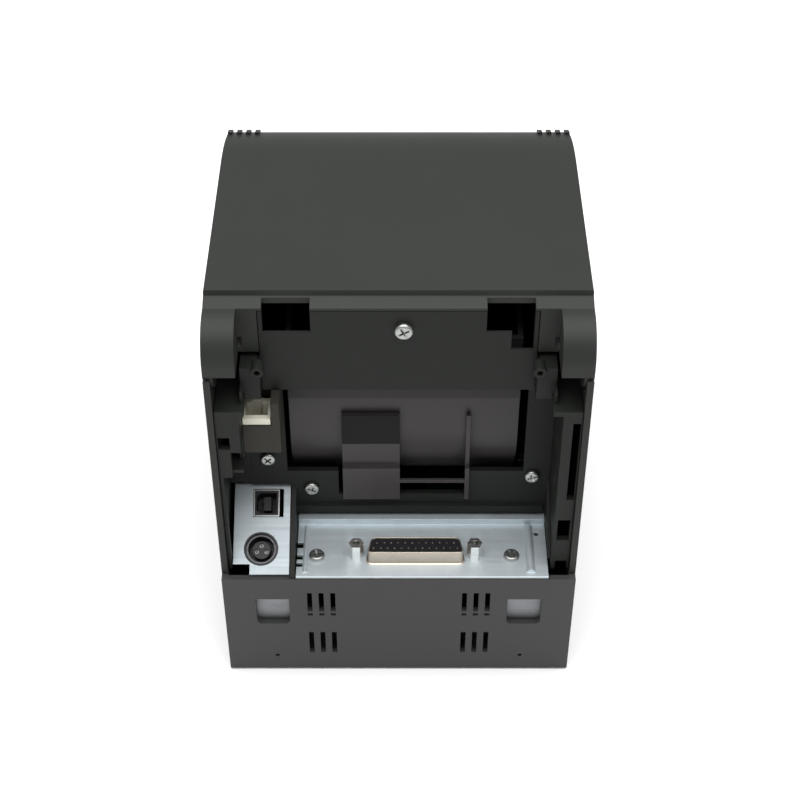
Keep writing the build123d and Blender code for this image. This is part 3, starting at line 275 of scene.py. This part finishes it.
def scuff_group():
    """Handling marks: sparse thin scratches in two directions."""
    tree, start, end = new_group("Handling Marks", [("Scale", 90.0)], [("Marks", "Float")])
    place = node(tree, "TexCoord").outputs["Object"]
    masks = []
    for turn in (0.5, -0.9):
        turned = node(tree, "Mapping", {"Vector": place, "Rotation": (turn, turn * 0.7, turn),
                                        "Scale": (1, 0.06, 1)})
        lines = node(tree, "TexNoise", {"Vector": turned.outputs[0], "Scale": start.outputs["Scale"],
                                        "Detail": 5.0})
        sharp = node(tree, "MapRange", {"Value": lines.outputs[0], "From Min": 0.66, "From Max": 0.74})
        masks.append(sharp.outputs[0])
    tree.links.new(maths(tree, "MAXIMUM", *masks), end.inputs["Marks"])
    return tree


MAKERS = {"Moulded Grain": grain_group, "Soft Edges": edge_group, "Zinc Plating": spangle_group,
          "Handling Marks": scuff_group}
GROUPS = {}


def group(tree, name, **inputs):
    """Places a shared node group in a material, making it the first time."""
    if name not in GROUPS:
        GROUPS[name] = MAKERS[name]()
    made = tree.nodes.new("ShaderNodeGroup")
    made.node_tree = GROUPS[name]
    for label, value in inputs.items():
        made.inputs[label.replace("_", " ").title()].default_value = value
    return made


def new_material(name):
    """An empty material with a Principled shader, its tree and that shader."""
    material = bpy.data.materials.new(name)
    material.use_nodes = True
    return material, material.node_tree, material.node_tree.nodes["Principled BSDF"]


def plus_alpha(rgb, factor=1.0):
    """A colour with alpha, made lighter or darker by a factor."""
    return (*[min(1.0, c * factor) for c in rgb], 1.0)


def moulded(name, rgb, grain, edge, rough=0.5, bump=0.12, edge_highlight=1.5, variation=0.08, coat=0.0, sheen=0.3):
    """A moulded plastic with grain, mottle, a painted highlight that makes the soft edges a touch lighter,
    and faint marks.
    """
    material, tree, shader = new_material(name)
    surface = group(tree, "Moulded Grain", fine_scale=1.0 / grain, broad_scale=30.0)
    soft = group(tree, "Soft Edges", radius=edge)
    marks = group(tree, "Handling Marks", scale=70.0)
    body = blend_colours(tree, surface.outputs["Mottle"], plus_alpha(rgb, 1 - variation),
                         plus_alpha(rgb, 1 + variation))
    # Painted highlight: the soft edges are lightened in the base colour
    lightened = maths(tree, "MULTIPLY", soft.outputs["Edge"], PLASTIC_EDGE)
    tree.links.new(blend_colours(tree, lightened, body, plus_alpha(rgb, edge_highlight)), shader.inputs["Base Color"])
    gloss = node(tree, "MapRange", {"Value": surface.outputs["Mottle"], "To Min": rough - 0.04,
                                    "To Max": rough + 0.05})
    rubbed = maths(tree, "MULTIPLY", marks.outputs["Marks"], 0.06)
    tree.links.new(maths(tree, "SUBTRACT", gloss.outputs[0], rubbed, clamp=True), shader.inputs["Roughness"])
    relief = node(tree, "Bump", {"Height": surface.outputs["Height"], "Normal": soft.outputs["Normal"],
                                 "Strength": bump, "Distance": grain * 0.2})
    tree.links.new(relief.outputs[0], shader.inputs["Normal"])
    shader.inputs["Specular IOR Level"].default_value = sheen
    shader.inputs["Coat Weight"].default_value = coat
    shader.inputs["Coat Roughness"].default_value = 0.15
    return material


def plated(name, rgb, edge, rough=0.35, patch=220.0, contrast=0.10, metallic=1.0, bump=0.05):
    """A plated metal with soft patches, rolling lines and a painted highlight on the soft edges."""
    material, tree, shader = new_material(name)
    plating = group(tree, "Zinc Plating", patch_scale=patch, line_scale=900.0)
    soft = group(tree, "Soft Edges", radius=edge)
    marks = group(tree, "Handling Marks", scale=130.0)
    body = blend_colours(tree, plating.outputs["Patches"], plus_alpha(rgb, 1 - contrast),
                         plus_alpha(rgb, 1 + contrast))
    # Painted highlight: the soft edges are brightened in the base colour
    edge_highlight_share = maths(tree, "MULTIPLY", soft.outputs["Edge"], METAL_EDGE)
    tree.links.new(
        blend_colours(tree, edge_highlight_share, body, plus_alpha(rgb, METAL_EDGE_BRIGHT)), shader.inputs["Base Color"])
    gloss = node(tree, "MapRange", {"Value": plating.outputs["Lines"], "From Min": 0.3, "From Max": 0.7,
                                    "To Min": rough - 0.05, "To Max": rough + 0.06})
    scratched = maths(tree, "MULTIPLY", marks.outputs["Marks"], 0.12)
    tree.links.new(maths(tree, "ADD", gloss.outputs[0], scratched, clamp=True), shader.inputs["Roughness"])
    relief = node(tree, "Bump", {"Height": plating.outputs["Lines"], "Normal": soft.outputs["Normal"],
                                 "Strength": bump, "Distance": 0.00005})
    tree.links.new(relief.outputs[0], shader.inputs["Normal"])
    shader.inputs["Metallic"].default_value = metallic
    return material


def board_material(name, rgb):
    """A circuit board with copper tracks under its solder mask."""
    material, tree, shader = new_material(name)
    place = node(tree, "TexCoord").outputs["Object"]
    tracks = node(tree, "TexBrick", {"Vector": place, "Color1": (0, 0, 0, 1), "Color2": (0.35, 0.35, 0.35, 1),
                                     "Mortar": (1, 1, 1, 1), "Scale": 160.0, "Mortar Size": 0.03})
    copper = maths(tree, "MULTIPLY", tracks.outputs["Fac"], 0.8)
    tree.links.new(
        blend_colours(tree, copper, plus_alpha(rgb), plus_alpha(rgb, 1.9)), shader.inputs["Base Color"])
    relief = node(tree, "Bump", {"Height": tracks.outputs["Fac"], "Strength": 0.2, "Distance": 0.00003})
    tree.links.new(relief.outputs[0], shader.inputs["Normal"])
    shader.inputs["Roughness"].default_value = 0.32
    return material


def dress(material, *names):
    """Gives CAD nodes a finish."""
    for name in names:
        obj = frame["nodes"][name]
        for entry in obj.material_slots:
            entry.material = material
        if not obj.material_slots:
            obj.data.materials.append(material)


# Modelling helpers

def deselect():
    """Leaves edit mode and selects nothing."""
    if bpy.context.object and bpy.context.object.mode != "OBJECT":
        bpy.ops.object.mode_set(mode="OBJECT")
    bpy.ops.object.select_all(action="DESELECT")


def edit():
    """Opens the new primitive for editing."""
    bpy.ops.object.mode_set(mode="EDIT")


def pick(test, kind="FACE"):
    """Selects only the faces or edges whose middle and normal pass the test."""
    bpy.ops.mesh.select_mode(type=kind)
    bpy.ops.mesh.select_all(action="DESELECT")
    work = bmesh.from_edit_mesh(bpy.context.object.data)
    if kind == "FACE":
        for face in work.faces:
            if test(face.calc_center_median(), face.normal):
                face.select_set(True)
    else:
        for line in work.edges:
            if test((line.verts[0].co + line.verts[1].co) / 2, line.verts[1].co - line.verts[0].co):
                line.select_set(True)
    bmesh.update_edit_mesh(bpy.context.object.data)


def push(distance, axis=(0, 0, 1)):
    """Extrudes what is selected along an axis."""
    bpy.ops.mesh.extrude_region_move(
        TRANSFORM_OT_translate={"value": tuple(Vector(axis) * distance)})


def seal(name, place=Matrix.Identity(4), smooth=35.0):
    """Leaves edit mode, places the piece, names it and smooths its shallow edges."""
    if bpy.context.object.mode != "OBJECT":
        bpy.ops.object.mode_set(mode="OBJECT")
    piece = bpy.context.object
    piece.name = name
    piece.data.name = name
    piece.matrix_world = place @ piece.matrix_world
    bpy.ops.object.transform_apply(location=True, rotation=True, scale=True)
    bpy.ops.object.shade_smooth_by_angle(angle=math.radians(smooth))
    return piece


def apply_modifier(piece, kind, **values):
    """Adds a modifier, sets it and applies it."""
    modifier = piece.modifiers.new(kind.title(), kind)
    for name, value in values.items():
        setattr(modifier, name, value)
    bpy.context.view_layer.objects.active = piece
    bpy.ops.object.modifier_apply(modifier=modifier.name)


def join(name, pieces):
    """Joins pieces into one object."""
    deselect()
    for piece in pieces:
        piece.select_set(True)
    bpy.context.view_layer.objects.active = pieces[0]
    if len(pieces) > 1:
        bpy.ops.object.join()
    joined = bpy.context.object
    joined.name = name
    joined.data.name = name
    return joined


def finish_piece(piece, material, slot, body, *replaced):
    """Gives a new piece its finish and its body, and hides the nodes that it stands for. The slot is not
    used.
    """
    piece.data.materials.clear()
    piece.data.materials.append(material)
    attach(piece, body)
    if replaced:
        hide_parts(*replaced)


def solids_of(name):
    """The lowest and highest corner of each separate solid in a CAD node."""
    work = bmesh.new()
    work.from_mesh(frame["nodes"][name].data)
    bmesh.ops.remove_doubles(work, verts=work.verts, dist=1e-6)
    left = set(work.verts)
    boxes = []
    while left:
        island = [left.pop()]
        for vert in island:
            for line in vert.link_edges:
                other = line.other_vert(vert)
                if other in left:
                    left.remove(other)
                    island.append(other)
        low = Vector([min(v.co[i] for v in island) for i in range(3)])
        high = Vector([max(v.co[i] for v in island) for i in range(3)])
        boxes.append((low, high))
    work.free()
    return sorted(boxes, key=lambda box: box[0].x)


# Screws

def cross_cutter(radius, depth, height):
    """The tapered cross that is cut into a screw's head."""
    arms = []
    for turn in (0.0, math.pi / 2):
        deselect()
        bpy.ops.mesh.primitive_cube_add(size=1.0, location=(0, 0, height - depth / 2 + 0.05 * MM))
        bpy.context.object.scale = (radius * 1.3, radius * 0.24, depth + 0.1 * MM)
        bpy.ops.object.transform_apply(scale=True, location=True)
        edit()
        pick(lambda middle, normal: normal.z < -0.9)
        bpy.ops.transform.resize(value=(0.45, 0.75, 1.0))
        bpy.ops.object.mode_set(mode="OBJECT")
        bpy.context.object.matrix_world = Matrix.Rotation(turn, 4, "Z")
        bpy.ops.object.transform_apply(rotation=True)
        arms.append(bpy.context.object)
    return arms


def screw(name, radius, height, shank_radius, shank, recess):
    """A pan head screw that stands on the origin: a domed head, a cross recess and a grooved shank."""
    deselect()
    bpy.ops.mesh.primitive_cylinder_add(vertices=48, radius=radius, depth=height, location=(0, 0, height / 2))
    edit()
    pick(lambda middle, normal: normal.z > 0.9)
    bpy.ops.mesh.bevel(offset=height * DOME, segments=6, profile=0.5)
    pick(lambda middle, normal: normal.z < -0.9)
    bpy.ops.mesh.bevel(offset=height * UNDERSIDE, segments=2)
    pick(lambda middle, normal: normal.z < -0.9)
    bpy.ops.mesh.inset(thickness=radius - shank_radius - height * UNDERSIDE)
    rings = max(3, int(shank / GROOVE_STEP))
    for _ in range(rings):
        push(-shank / rings / 2)
        bpy.ops.transform.resize(value=(GROOVE, GROOVE, 1.0))
        push(-shank / rings / 2)
        bpy.ops.transform.resize(value=(1 / GROOVE, 1 / GROOVE, 1.0))
    bpy.ops.object.mode_set(mode="OBJECT")
    head = bpy.context.object
    for cutter in cross_cutter(radius, height * recess, height):
        apply_modifier(head, "BOOLEAN", operation="DIFFERENCE", object=cutter, solver="EXACT")
        bpy.data.objects.remove(cutter)
    deselect()
    head.select_set(True)
    bpy.context.view_layer.objects.active = head
    return seal(name)


def copy_to(source, name, place):
    """A copy of a piece with its own mesh, moved to its place."""
    deselect()
    source.select_set(True)
    bpy.context.view_layer.objects.active = source
    bpy.ops.object.duplicate(linked=False)
    return seal(name, place)


def facing_rear(point, turn=0.0):
    """Turns +Z to the rear, after a turn about the screw's own axis, and moves it to a point."""
    return Matrix.Translation(point) @ Matrix.Rotation(-math.pi / 2, 4, "X") @ Matrix.Rotation(turn, 4, "Z")


def facing_up(point, turn=0.0):
    """Keeps +Z up, after a turn about the screw's own axis, and moves it to a point."""
    return Matrix.Translation(point) @ Matrix.Rotation(turn, 4, "Z")


class PRINTER_OT_screws(bpy.types.Operator):
    """Builds the bright pan head screws of the frame, the panel, the plate and the board"""
    bl_idname = "printer.screws"
    bl_label = "Screws"

    def execute(self, context):
        tint = context.scene.printer_metal.screw
        bright = plated("Bright Zinc Screw", tint, 0.0001, rough=0.36, patch=900.0, contrast=0.05)
        recess = context.scene.printer_detail.recess
        for node_name, way, radius, height, shank_radius, shank, turns in SCREWS:
            pattern = screw(node_name + "_pattern", radius, height, shank_radius, shank, recess)
            copies = []
            for (low, high), turn in zip(solids_of(node_name), turns):
                middle = (low + high) / 2
                if way == "rear":
                    place = facing_rear(Vector((middle.x, high.y - height, middle.z)), turn)
                else:
                    place = facing_up(Vector((middle.x, middle.y, high.z - height)), turn)
                copies.append(copy_to(pattern, node_name + "_copy", place))
            bpy.data.objects.remove(pattern)
            finish_piece(join(node_name + "_detailed", copies), bright, "screw_steel", "base", node_name)
        return {"FINISHED"}


# Casing and mouldings

class PRINTER_OT_casing(bpy.types.Operator):
    """Finishes the cover, the case, the front cover, the tray and the lower rear panel"""
    bl_idname = "printer.casing"
    bl_label = "Casing"

    def execute(self, context):
        plastic = context.scene.printer_plastic
        case = moulded("Case Plastic", plastic.case, plastic.grain, plastic.edge, rough=0.5,
                       sheen=plastic.sheen)
        dress(case, "cover_shell", "main_case", "front_cover")
        tray = moulded("Tray Plastic", plastic.tray, plastic.grain, plastic.edge, rough=0.5, bump=0.16,
                       sheen=plastic.sheen)
        dress(tray, "base_tray", "rear_panel")
        return {"FINISHED"}


class PRINTER_OT_rear_frame(bpy.types.Operator):
    """Finishes the mouldings of the rear recess and the frame inside the cover"""
    bl_idname = "printer.rear_frame"
    bl_label = "Rear frame"

    def execute(self, context):
        plastic = context.scene.printer_plastic
        # Painted shade: the frame plastic is darker than the case to stand in for the shade of the rear
        # recess
        shaded_frame_plastic = moulded("Frame Plastic Painted Shade", plastic.frame, plastic.grain, plastic.edge, rough=0.5,
                                sheen=plastic.sheen * 0.7)
        dress(shaded_frame_plastic, "rear_frame", "centre_panel", "frame_pillars", "hinge_brackets", "cover_inner",
              "cutter_body", "tray_posts")
        block = moulded("Jack Block Plastic", plastic.block, plastic.grain, plastic.edge, rough=0.5,
                        sheen=plastic.sheen * 0.7)
        dress(block, "jack_block")
        return {"FINISHED"}


class PRINTER_OT_paper_tub(bpy.types.Operator):
    """Finishes the paper tub and its bracket, and adds a thin dark pad on the bracket"""
    bl_idname = "printer.paper_tub"
    bl_label = "Paper tub"

    def execute(self, context):
        plastic = context.scene.printer_plastic
        tub = moulded("Tub Plastic", plastic.tub, plastic.grain * 0.6, plastic.edge, rough=0.34, bump=0.05,
                      sheen=plastic.sheen)
        dress(tub, "paper_tub", "tub_bridge")
        self.pad()
        return {"FINISHED"}

    def pad(self):
        """A thin dark pad in the shallow pocket of the bracket's wide plate."""
        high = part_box("tub_bridge")[1]
        left, right = high.x - PAD_LEFT, high.x - PAD_RIGHT
        bottom, top = high.z - PAD_BOTTOM, high.z - PAD_TOP
        deselect()
        bpy.ops.mesh.primitive_cube_add(
            size=1.0, location=((left + right) / 2, high.y - PAD_MIDDLE, (bottom + top) / 2))
        bpy.context.object.scale = (right - left, PAD_THICK, top - bottom)
        bpy.ops.object.transform_apply(scale=True)
        edit()
        pick(lambda middle, line: abs(line.y) > 0, kind="EDGE")
        bpy.ops.mesh.bevel(offset=0.8 * MM, segments=4)
        pick(lambda middle, normal: normal.y > 0.9)
        bpy.ops.mesh.bevel(offset=0.2 * MM, segments=2)
        pad = seal("bridge_pad")
        pad_finish = moulded("Dark Pad", (0.018, 0.018, 0.018), 0.0003, 0.0002, rough=0.9, bump=0.5, sheen=0.1)
        finish_piece(pad, pad_finish, "black_plastic", "base")


class PRINTER_OT_feet(bpy.types.Operator):
    """Finishes the rubber feet"""
    bl_idname = "printer.feet"
    bl_label = "Feet"

    def execute(self, context):
        rubber = moulded("Foot Rubber", (0.016, 0.016, 0.016), 0.0003, 0.0003, rough=0.8, bump=0.3)
        dress(rubber, "rubber_feet")
        return {"FINISHED"}


# Sockets and plates

class PRINTER_OT_plates(bpy.types.Operator):
    """Finishes the zinc plated plates at the rear and inside"""
    bl_idname = "printer.plates"
    bl_label = "Plates"

    def execute(self, context):
        metal = context.scene.printer_metal
        for label, tint, node_name in (("Upper", metal.zinc, "interface_plate"),
                                       ("Lower", metal.lower, "power_usb_plate"),
                                       ("Chassis", metal.chassis, "chassis_plate")):
            zinc = plated(label + " Zinc Steel", tint, metal.edge, rough=0.55, contrast=0.05, metallic=0.75)
            dress(zinc, node_name)
        inner = plated("Inner Zinc Steel", (0.42, 0.44, 0.44), metal.edge, rough=0.45, contrast=0.16)
        dress(inner, "mech_frame", "platen_holder")
        return {"FINISHED"}


def d_outline(width, depth, corner, z):
    """A flat D outline, wide side to the rear, as the open primitive in edit mode."""
    deselect()
    bpy.ops.mesh.primitive_plane_add(size=1.0, location=(0, 0, 0))
    bpy.context.object.scale = (width, depth, 1.0)
    bpy.ops.object.transform_apply(scale=True)
    shrink = depth * math.tan(math.radians(SHELL_SLANT)) * 2
    edit()
    pick(lambda middle, line: middle.y < -depth * 0.4 and abs(line.x) > 0, kind="EDGE")
    bpy.ops.transform.resize(value=((width - shrink) / width, 1.0, 1.0))
    bpy.ops.mesh.select_all(action="SELECT")
    bpy.ops.transform.translate(value=(0, 0, z))
    bpy.ops.mesh.bevel(offset=corner, segments=6, affect="VERTICES")


def socket_shell(shell_low, shell_high):
    """The drawn shell of the wide socket: a coved root, straight walls and a rounded open rim."""
    root = shell_low + SHELL_ROOT
    d_outline(SHELL_WIDTH + 2 * COVE, SHELL_DEPTH + 2 * COVE, SHELL_CORNER + COVE, root + 0.02 * MM)
    for step in range(COVE_STEPS):
        low = step / COVE_STEPS * math.pi / 2
        high = (step + 1) / COVE_STEPS * math.pi / 2
        inward = COVE * (math.sin(high) - math.sin(low))
        up = COVE * (math.cos(low) - math.cos(high))
        bpy.ops.mesh.select_mode(type="FACE")
        bpy.ops.mesh.inset(thickness=inward, depth=up)
    push(shell_high - root - COVE)
    bpy.ops.mesh.inset(thickness=SHELL_WALL)
    push(-(shell_high - root) * 0.97)


class PRINTER_OT_wide_socket(bpy.types.Operator):
    """Builds the 25-way socket: a drawn shell, its flange, contact sleeves and two hex posts"""
    bl_idname = "printer.wide_socket"
    bl_label = "Wide socket"

    def execute(self, context):
        metal = context.scene.printer_metal
        nickel = plated("Nickel Shell", metal.nickel, 0.0002, rough=0.35, patch=500.0, contrast=0.06)
        low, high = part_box("dsub_shell")
        body_low, body_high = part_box("dsub_insulator")
        centre = (body_low + body_high) / 2
        socket_shell(low.z, high.z)
        shell = seal("socket_shell", Matrix.Translation((centre.x, centre.y, 0)))
        apply_modifier(shell, "BEVEL", width=SHELL_LIP, segments=3, limit_method="ANGLE",
                       angle_limit=math.radians(50))
        deselect()
        bpy.ops.mesh.primitive_cube_add(size=1.0, location=(centre.x, centre.y, low.z + FLANGE / 2))
        bpy.context.object.scale = (high.x - low.x, high.y - low.y, FLANGE)
        bpy.ops.object.transform_apply(scale=True)
        edit()
        pick(lambda middle, line: abs(line.z) > 0, kind="EDGE")
        bpy.ops.mesh.bevel(offset=FLANGE_CORNER, segments=5)
        flange = seal("socket_flange")
        whole = join("wide_socket_shell", [shell, flange])
        finish_piece(whole, nickel, "shell_plating", "base", "dsub_shell")
        black = context.scene.printer_plastic.black
        insulator = moulded("Socket Insulator", black, 0.0004, 0.00015, rough=0.4)
        dress(insulator, "dsub_insulator")
        dress(plated("Bright Hex Post", metal.post, 0.00015, rough=0.3, patch=900.0, contrast=0.04),
              "dsub_standoffs")
        self.contacts(centre, body_high.z, metal.gold, context.scene.printer_detail.contact)
        return {"FINISHED"}

    def contacts(self, centre, top, tint, radius):
        """One sleeve in each hole of the insulator: 13 towards the rear and 12 in front."""
        gold = plated("Contact Gold", tint, 0.00005, rough=0.25, patch=2000.0, contrast=0.05)
        deselect()
        bpy.ops.mesh.primitive_cylinder_add(
            vertices=12, radius=radius, depth=CONTACT_LENGTH, location=(0, 0, 0))
        edit()
        pick(lambda middle, normal: normal.z > 0.9)
        bpy.ops.mesh.inset(thickness=radius * 0.35)
        push(-CONTACT_BORE)
        pattern = seal("contact_pattern")
        copies = []
        for count, offset in CONTACT_ROWS:
            for index in range(count):
                across = (index - (count - 1) / 2) * CONTACT_PITCH
                spot = Vector((centre.x + across, centre.y + offset, top - CONTACT_SINK))
                copies.append(copy_to(pattern, "contact_copy", Matrix.Translation(spot)))
        bpy.data.objects.remove(pattern)
        finish_piece(join("wide_socket_contacts", copies), gold, "contact_metal", "base")


class PRINTER_OT_small_sockets(bpy.types.Operator):
    """Finishes the small sockets, and the paper sensor and power rocker, which share their black"""
    bl_idname = "printer.small_sockets"
    bl_label = "Small sockets"

    def execute(self, context):
        plastic = context.scene.printer_plastic
        tin = plated("Tin Plated Shell", (0.36, 0.36, 0.36), 0.0002, rough=0.35, patch=700.0, contrast=0.06)
        dress(tin, "usb_shell")
        dark = plated("Dark Socket Ring", (0.07, 0.07, 0.075), 0.0002, rough=0.4, patch=700.0, contrast=0.06)
        dress(dark, "power_socket_shield")
        black = moulded("Socket Black", plastic.black, 0.0004, 0.0002, rough=0.42)
        dress(black, "power_socket_body", "usb_tongue", "paper_sensor", "power_rocker", "rocker_frame")
        cream = moulded("Jack Plastic", plastic.jack, 0.0006, 0.0003, rough=0.36, bump=0.04, edge_highlight=1.1,
                        variation=0.03)
        dress(cream, "drawer_jack")
        tint = context.scene.printer_metal.gold
        gold = plated("Gold Flash", tint, 0.00005, rough=0.25, patch=2000.0, contrast=0.05)
        dress(gold, "jack_contacts")
        # Painted shade: the pins' tin is darkened to stand in for the shade inside the socket's holes
        dress(plated("Pin Tin Painted Shade", (0.12, 0.12, 0.12), 0.00005, rough=0.3, contrast=0.05), "power_socket_pins")
        return {"FINISHED"}


class PRINTER_OT_boards(bpy.types.Operator):
    """Finishes the circuit boards and what stands on them"""
    bl_idname = "printer.boards"
    bl_label = "Boards"

    def execute(self, context):
        dress(board_material("Board Green", (0.015, 0.10, 0.045)), "main_board", "interface_board")
        dress(moulded("Chip Black", (0.02, 0.02, 0.021), 0.0003, 0.0002, rough=0.55), "board_parts")
        return {"FINISHED"}


# Mechanism

class PRINTER_OT_mechanism(bpy.types.Operator):
    """Finishes the feed gears, the roller, the shafts, the head, the blades and the motors"""
    bl_idname = "printer.mechanism"
    bl_label = "Mechanism"

    def execute(self, context):
        steel = plated("Ground Steel", (0.50, 0.50, 0.50), 0.00015, rough=0.28, patch=900.0, contrast=0.04)
        dress(steel, "hinge_pins", "platen_shaft", "latch_shaft", "cutter_blade", "fixed_blade",
              "motor_pinion")
        roller = moulded("Roller Rubber", (0.03, 0.03, 0.03), 0.0002, 0.0003, rough=0.62, bump=0.2)
        dress(roller, "platen_roller")
        acetal = moulded("White Acetal", (0.62, 0.62, 0.57), 0.0006, 0.0001, rough=0.35, bump=0.03, edge_highlight=1.1,
                         variation=0.03)
        dress(acetal, "idler_gear", "platen_gear", "platen_bushings")
        ceramic = moulded("Head Ceramic", (0.62, 0.56, 0.44), 0.0004, 0.0002, rough=0.25, coat=0.4)
        dress(ceramic, "thermal_head")
        aluminium = plated("Extruded Aluminium", (0.60, 0.60, 0.61), 0.0002, rough=0.4, contrast=0.05)
        dress(aluminium, "heat_sink")
        dress(plated("Motor Case", (0.30, 0.30, 0.31), 0.0003, rough=0.38, contrast=0.12), "feed_motor",
              "cutter_motor")
        self.springs(steel, context.scene.printer_detail)
        return {"FINISHED"}

    def springs(self, steel, detail):
        """Two coil springs behind the heat sink."""
        coils = []
        for low, high in solids_of("head_springs"):
            middle = (low + high) / 2
            reach = high.y - low.y - 2 * detail.wire
            coil_radius = (high.x - low.x) / 2 - detail.wire
            deselect()
            bpy.ops.mesh.primitive_circle_add(
                vertices=10, radius=detail.wire, location=(coil_radius, 0, detail.wire),
                rotation=(math.pi / 2, 0, 0))
            bpy.ops.object.transform_apply(location=True, rotation=True)
            ring = bpy.context.object
            apply_modifier(ring, "SCREW", axis="Z", angle=2 * math.pi * detail.turns, steps=24 * detail.turns,
                           render_steps=24 * detail.turns, screw_offset=reach, iterations=1)
            edit()
            bpy.ops.mesh.select_all(action="SELECT")
            bpy.ops.mesh.remove_doubles(threshold=1e-6)
            bpy.ops.mesh.select_mode(type="EDGE")
            bpy.ops.mesh.select_all(action="DESELECT")
            bpy.ops.mesh.select_non_manifold()
            bpy.ops.mesh.edge_face_add()
            bpy.ops.mesh.select_all(action="SELECT")
            bpy.ops.mesh.normals_make_consistent(inside=False)
            place = facing_rear(Vector((middle.x, low.y, middle.z)))
            coils.append(seal("head_spring_coil", place))
        coil = join("head_spring_coils", coils)
        finish_piece(coil, steel, "pin_steel", "base", "head_springs")
        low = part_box("head_springs")[0]
        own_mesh(coil)


class PRINTER_OT_controls(bpy.types.Operator):
    """Finishes the control panel, its button and lights, and the release button"""
    bl_idname = "printer.controls"
    bl_label = "Controls"

    def execute(self, context):
        plastic = context.scene.printer_plastic
        panel = moulded("Panel Grey", (0.10, 0.104, 0.108), plastic.grain, 0.0003, rough=0.4)
        dress(panel, "control_panel")
        key = moulded("Key Grey", (0.06, 0.064, 0.068), plastic.grain, 0.0004, rough=0.45)
        dress(key, "feed_button", "release_button")
        lens = moulded("Light Lens", (0.12, 0.34, 0.14), 0.0006, 0.0002, rough=0.15, bump=0.0, coat=0.6)
        dress(lens, "status_leds")
        return {"FINISHED"}


# Stage

def area_lamp(name, place, aim, size, power):
    """A square soft lamp that looks at a point."""
    deselect()
    bpy.ops.object.light_add(type="AREA", location=place)
    lamp = bpy.context.object
    lamp.name = name
    lamp.data.size = size
    lamp.data.energy = power
    lamp.rotation_euler = (Vector(aim) - Vector(place)).to_track_quat("-Z", "Y").to_euler()


class PRINTER_OT_stage(bpy.types.Operator):
    """Sets up the floor, the soft lamp, the even sky and the camera"""
    bl_idname = "printer.stage"
    bl_label = "Stage"

    def execute(self, context):
        stage = context.scene.printer_stage
        self.floor(stage)
        self.sky(stage)
        area_lamp("Overhead lamp", LAMP_PLACE, LAMP_AIM, LAMP_SIZE, stage.lamp)
        self.camera(context)
        context.scene.view_settings.view_transform = "Standard"
        return {"FINISHED"}

    def floor(self, stage):
        """A plain pale floor, which stays out of the part's own pieces."""
        deselect()
        bpy.ops.mesh.primitive_plane_add(size=FLOOR_SIZE, location=(0, 0, 0))
        floor = bpy.context.object
        floor.name = "floor"
        material, tree, shader = new_material("Pale Floor")
        shader.inputs["Base Color"].default_value = plus_alpha(stage.floor)
        shader.inputs["Roughness"].default_value = 0.9
        shader.inputs["Specular IOR Level"].default_value = 0.0
        floor.data.materials.append(material)

    def sky(self, stage):
        """Even light from all round, which the camera sees as plain white."""
        world = bpy.data.worlds.new("Even sky")
        bpy.context.scene.world = world
        world.use_nodes = True
        tree = world.node_tree
        light = tree.nodes["Background"]
        rays = node(tree, "LightPath")
        strength = node(tree, "Mix", {0: rays.outputs["Is Camera Ray"], 2: stage.sky, 3: 1.0})
        tree.links.new(strength.outputs[0], light.inputs["Strength"])
        light.inputs["Color"].default_value = (1, 1, 1, 1)

    def camera(self, context):
        """The camera at the photo's place."""
        deselect()
        bpy.ops.object.camera_add(
            location=CAMERA_PLACE, rotation=(math.radians(90 - CAMERA_DOWN), 0, math.pi))
        camera = bpy.context.object
        camera.name = "Camera"
        camera.data.sensor_width = SENSOR
        camera.data.lens = SENSOR * FOCAL_PIXELS / PHOTO_PIXELS
        camera.data.clip_start = CAMERA_CLIP
        context.scene.camera = camera


# Panel and registration

STEPS = (
    PRINTER_OT_casing, PRINTER_OT_rear_frame, PRINTER_OT_paper_tub, PRINTER_OT_feet, PRINTER_OT_plates,
    PRINTER_OT_wide_socket, PRINTER_OT_small_sockets, PRINTER_OT_boards, PRINTER_OT_mechanism,
    PRINTER_OT_controls, PRINTER_OT_screws, PRINTER_OT_stage,
)


class PRINTER_PT_panel(bpy.types.Panel):
    """Lists the printer's settings and pieces"""
    bl_idname = "PRINTER_PT_panel"
    bl_label = "Receipt Printer"
    bl_space_type = "VIEW_3D"
    bl_region_type = "UI"
    bl_category = "Printer"

    def draw(self, context):
        for group_name, kind in SETTING_GROUPS:
            values = getattr(context.scene, group_name)
            box = self.layout.box()
            for name in values.bl_rna.properties.keys():
                if name not in ("rna_type", "name"):
                    box.prop(values, name)
        for step in STEPS:
            self.layout.operator(step.bl_idname)


SETTING_GROUPS = (
    ("printer_plastic", PlasticSettings), ("printer_metal", MetalSettings),
    ("printer_detail", DetailSettings), ("printer_stage", StageSettings),
)


def register():
    for name, kind in SETTING_GROUPS:
        bpy.utils.register_class(kind)
        setattr(bpy.types.Scene, name, bpy.props.PointerProperty(type=kind))
    for kind in (*STEPS, PRINTER_PT_panel):
        bpy.utils.register_class(kind)


def unregister():
    for kind in (PRINTER_PT_panel, *reversed(STEPS)):
        bpy.utils.unregister_class(kind)
    for name, kind in reversed(SETTING_GROUPS):
        delattr(bpy.types.Scene, name)
        bpy.utils.unregister_class(kind)


def main():
    """Builds every piece and the stage."""
    register()
    for step in STEPS:
        family, action = step.bl_idname.split(".")
        getattr(getattr(bpy.ops, family), action)()


if __name__ == "__main__":
    main()
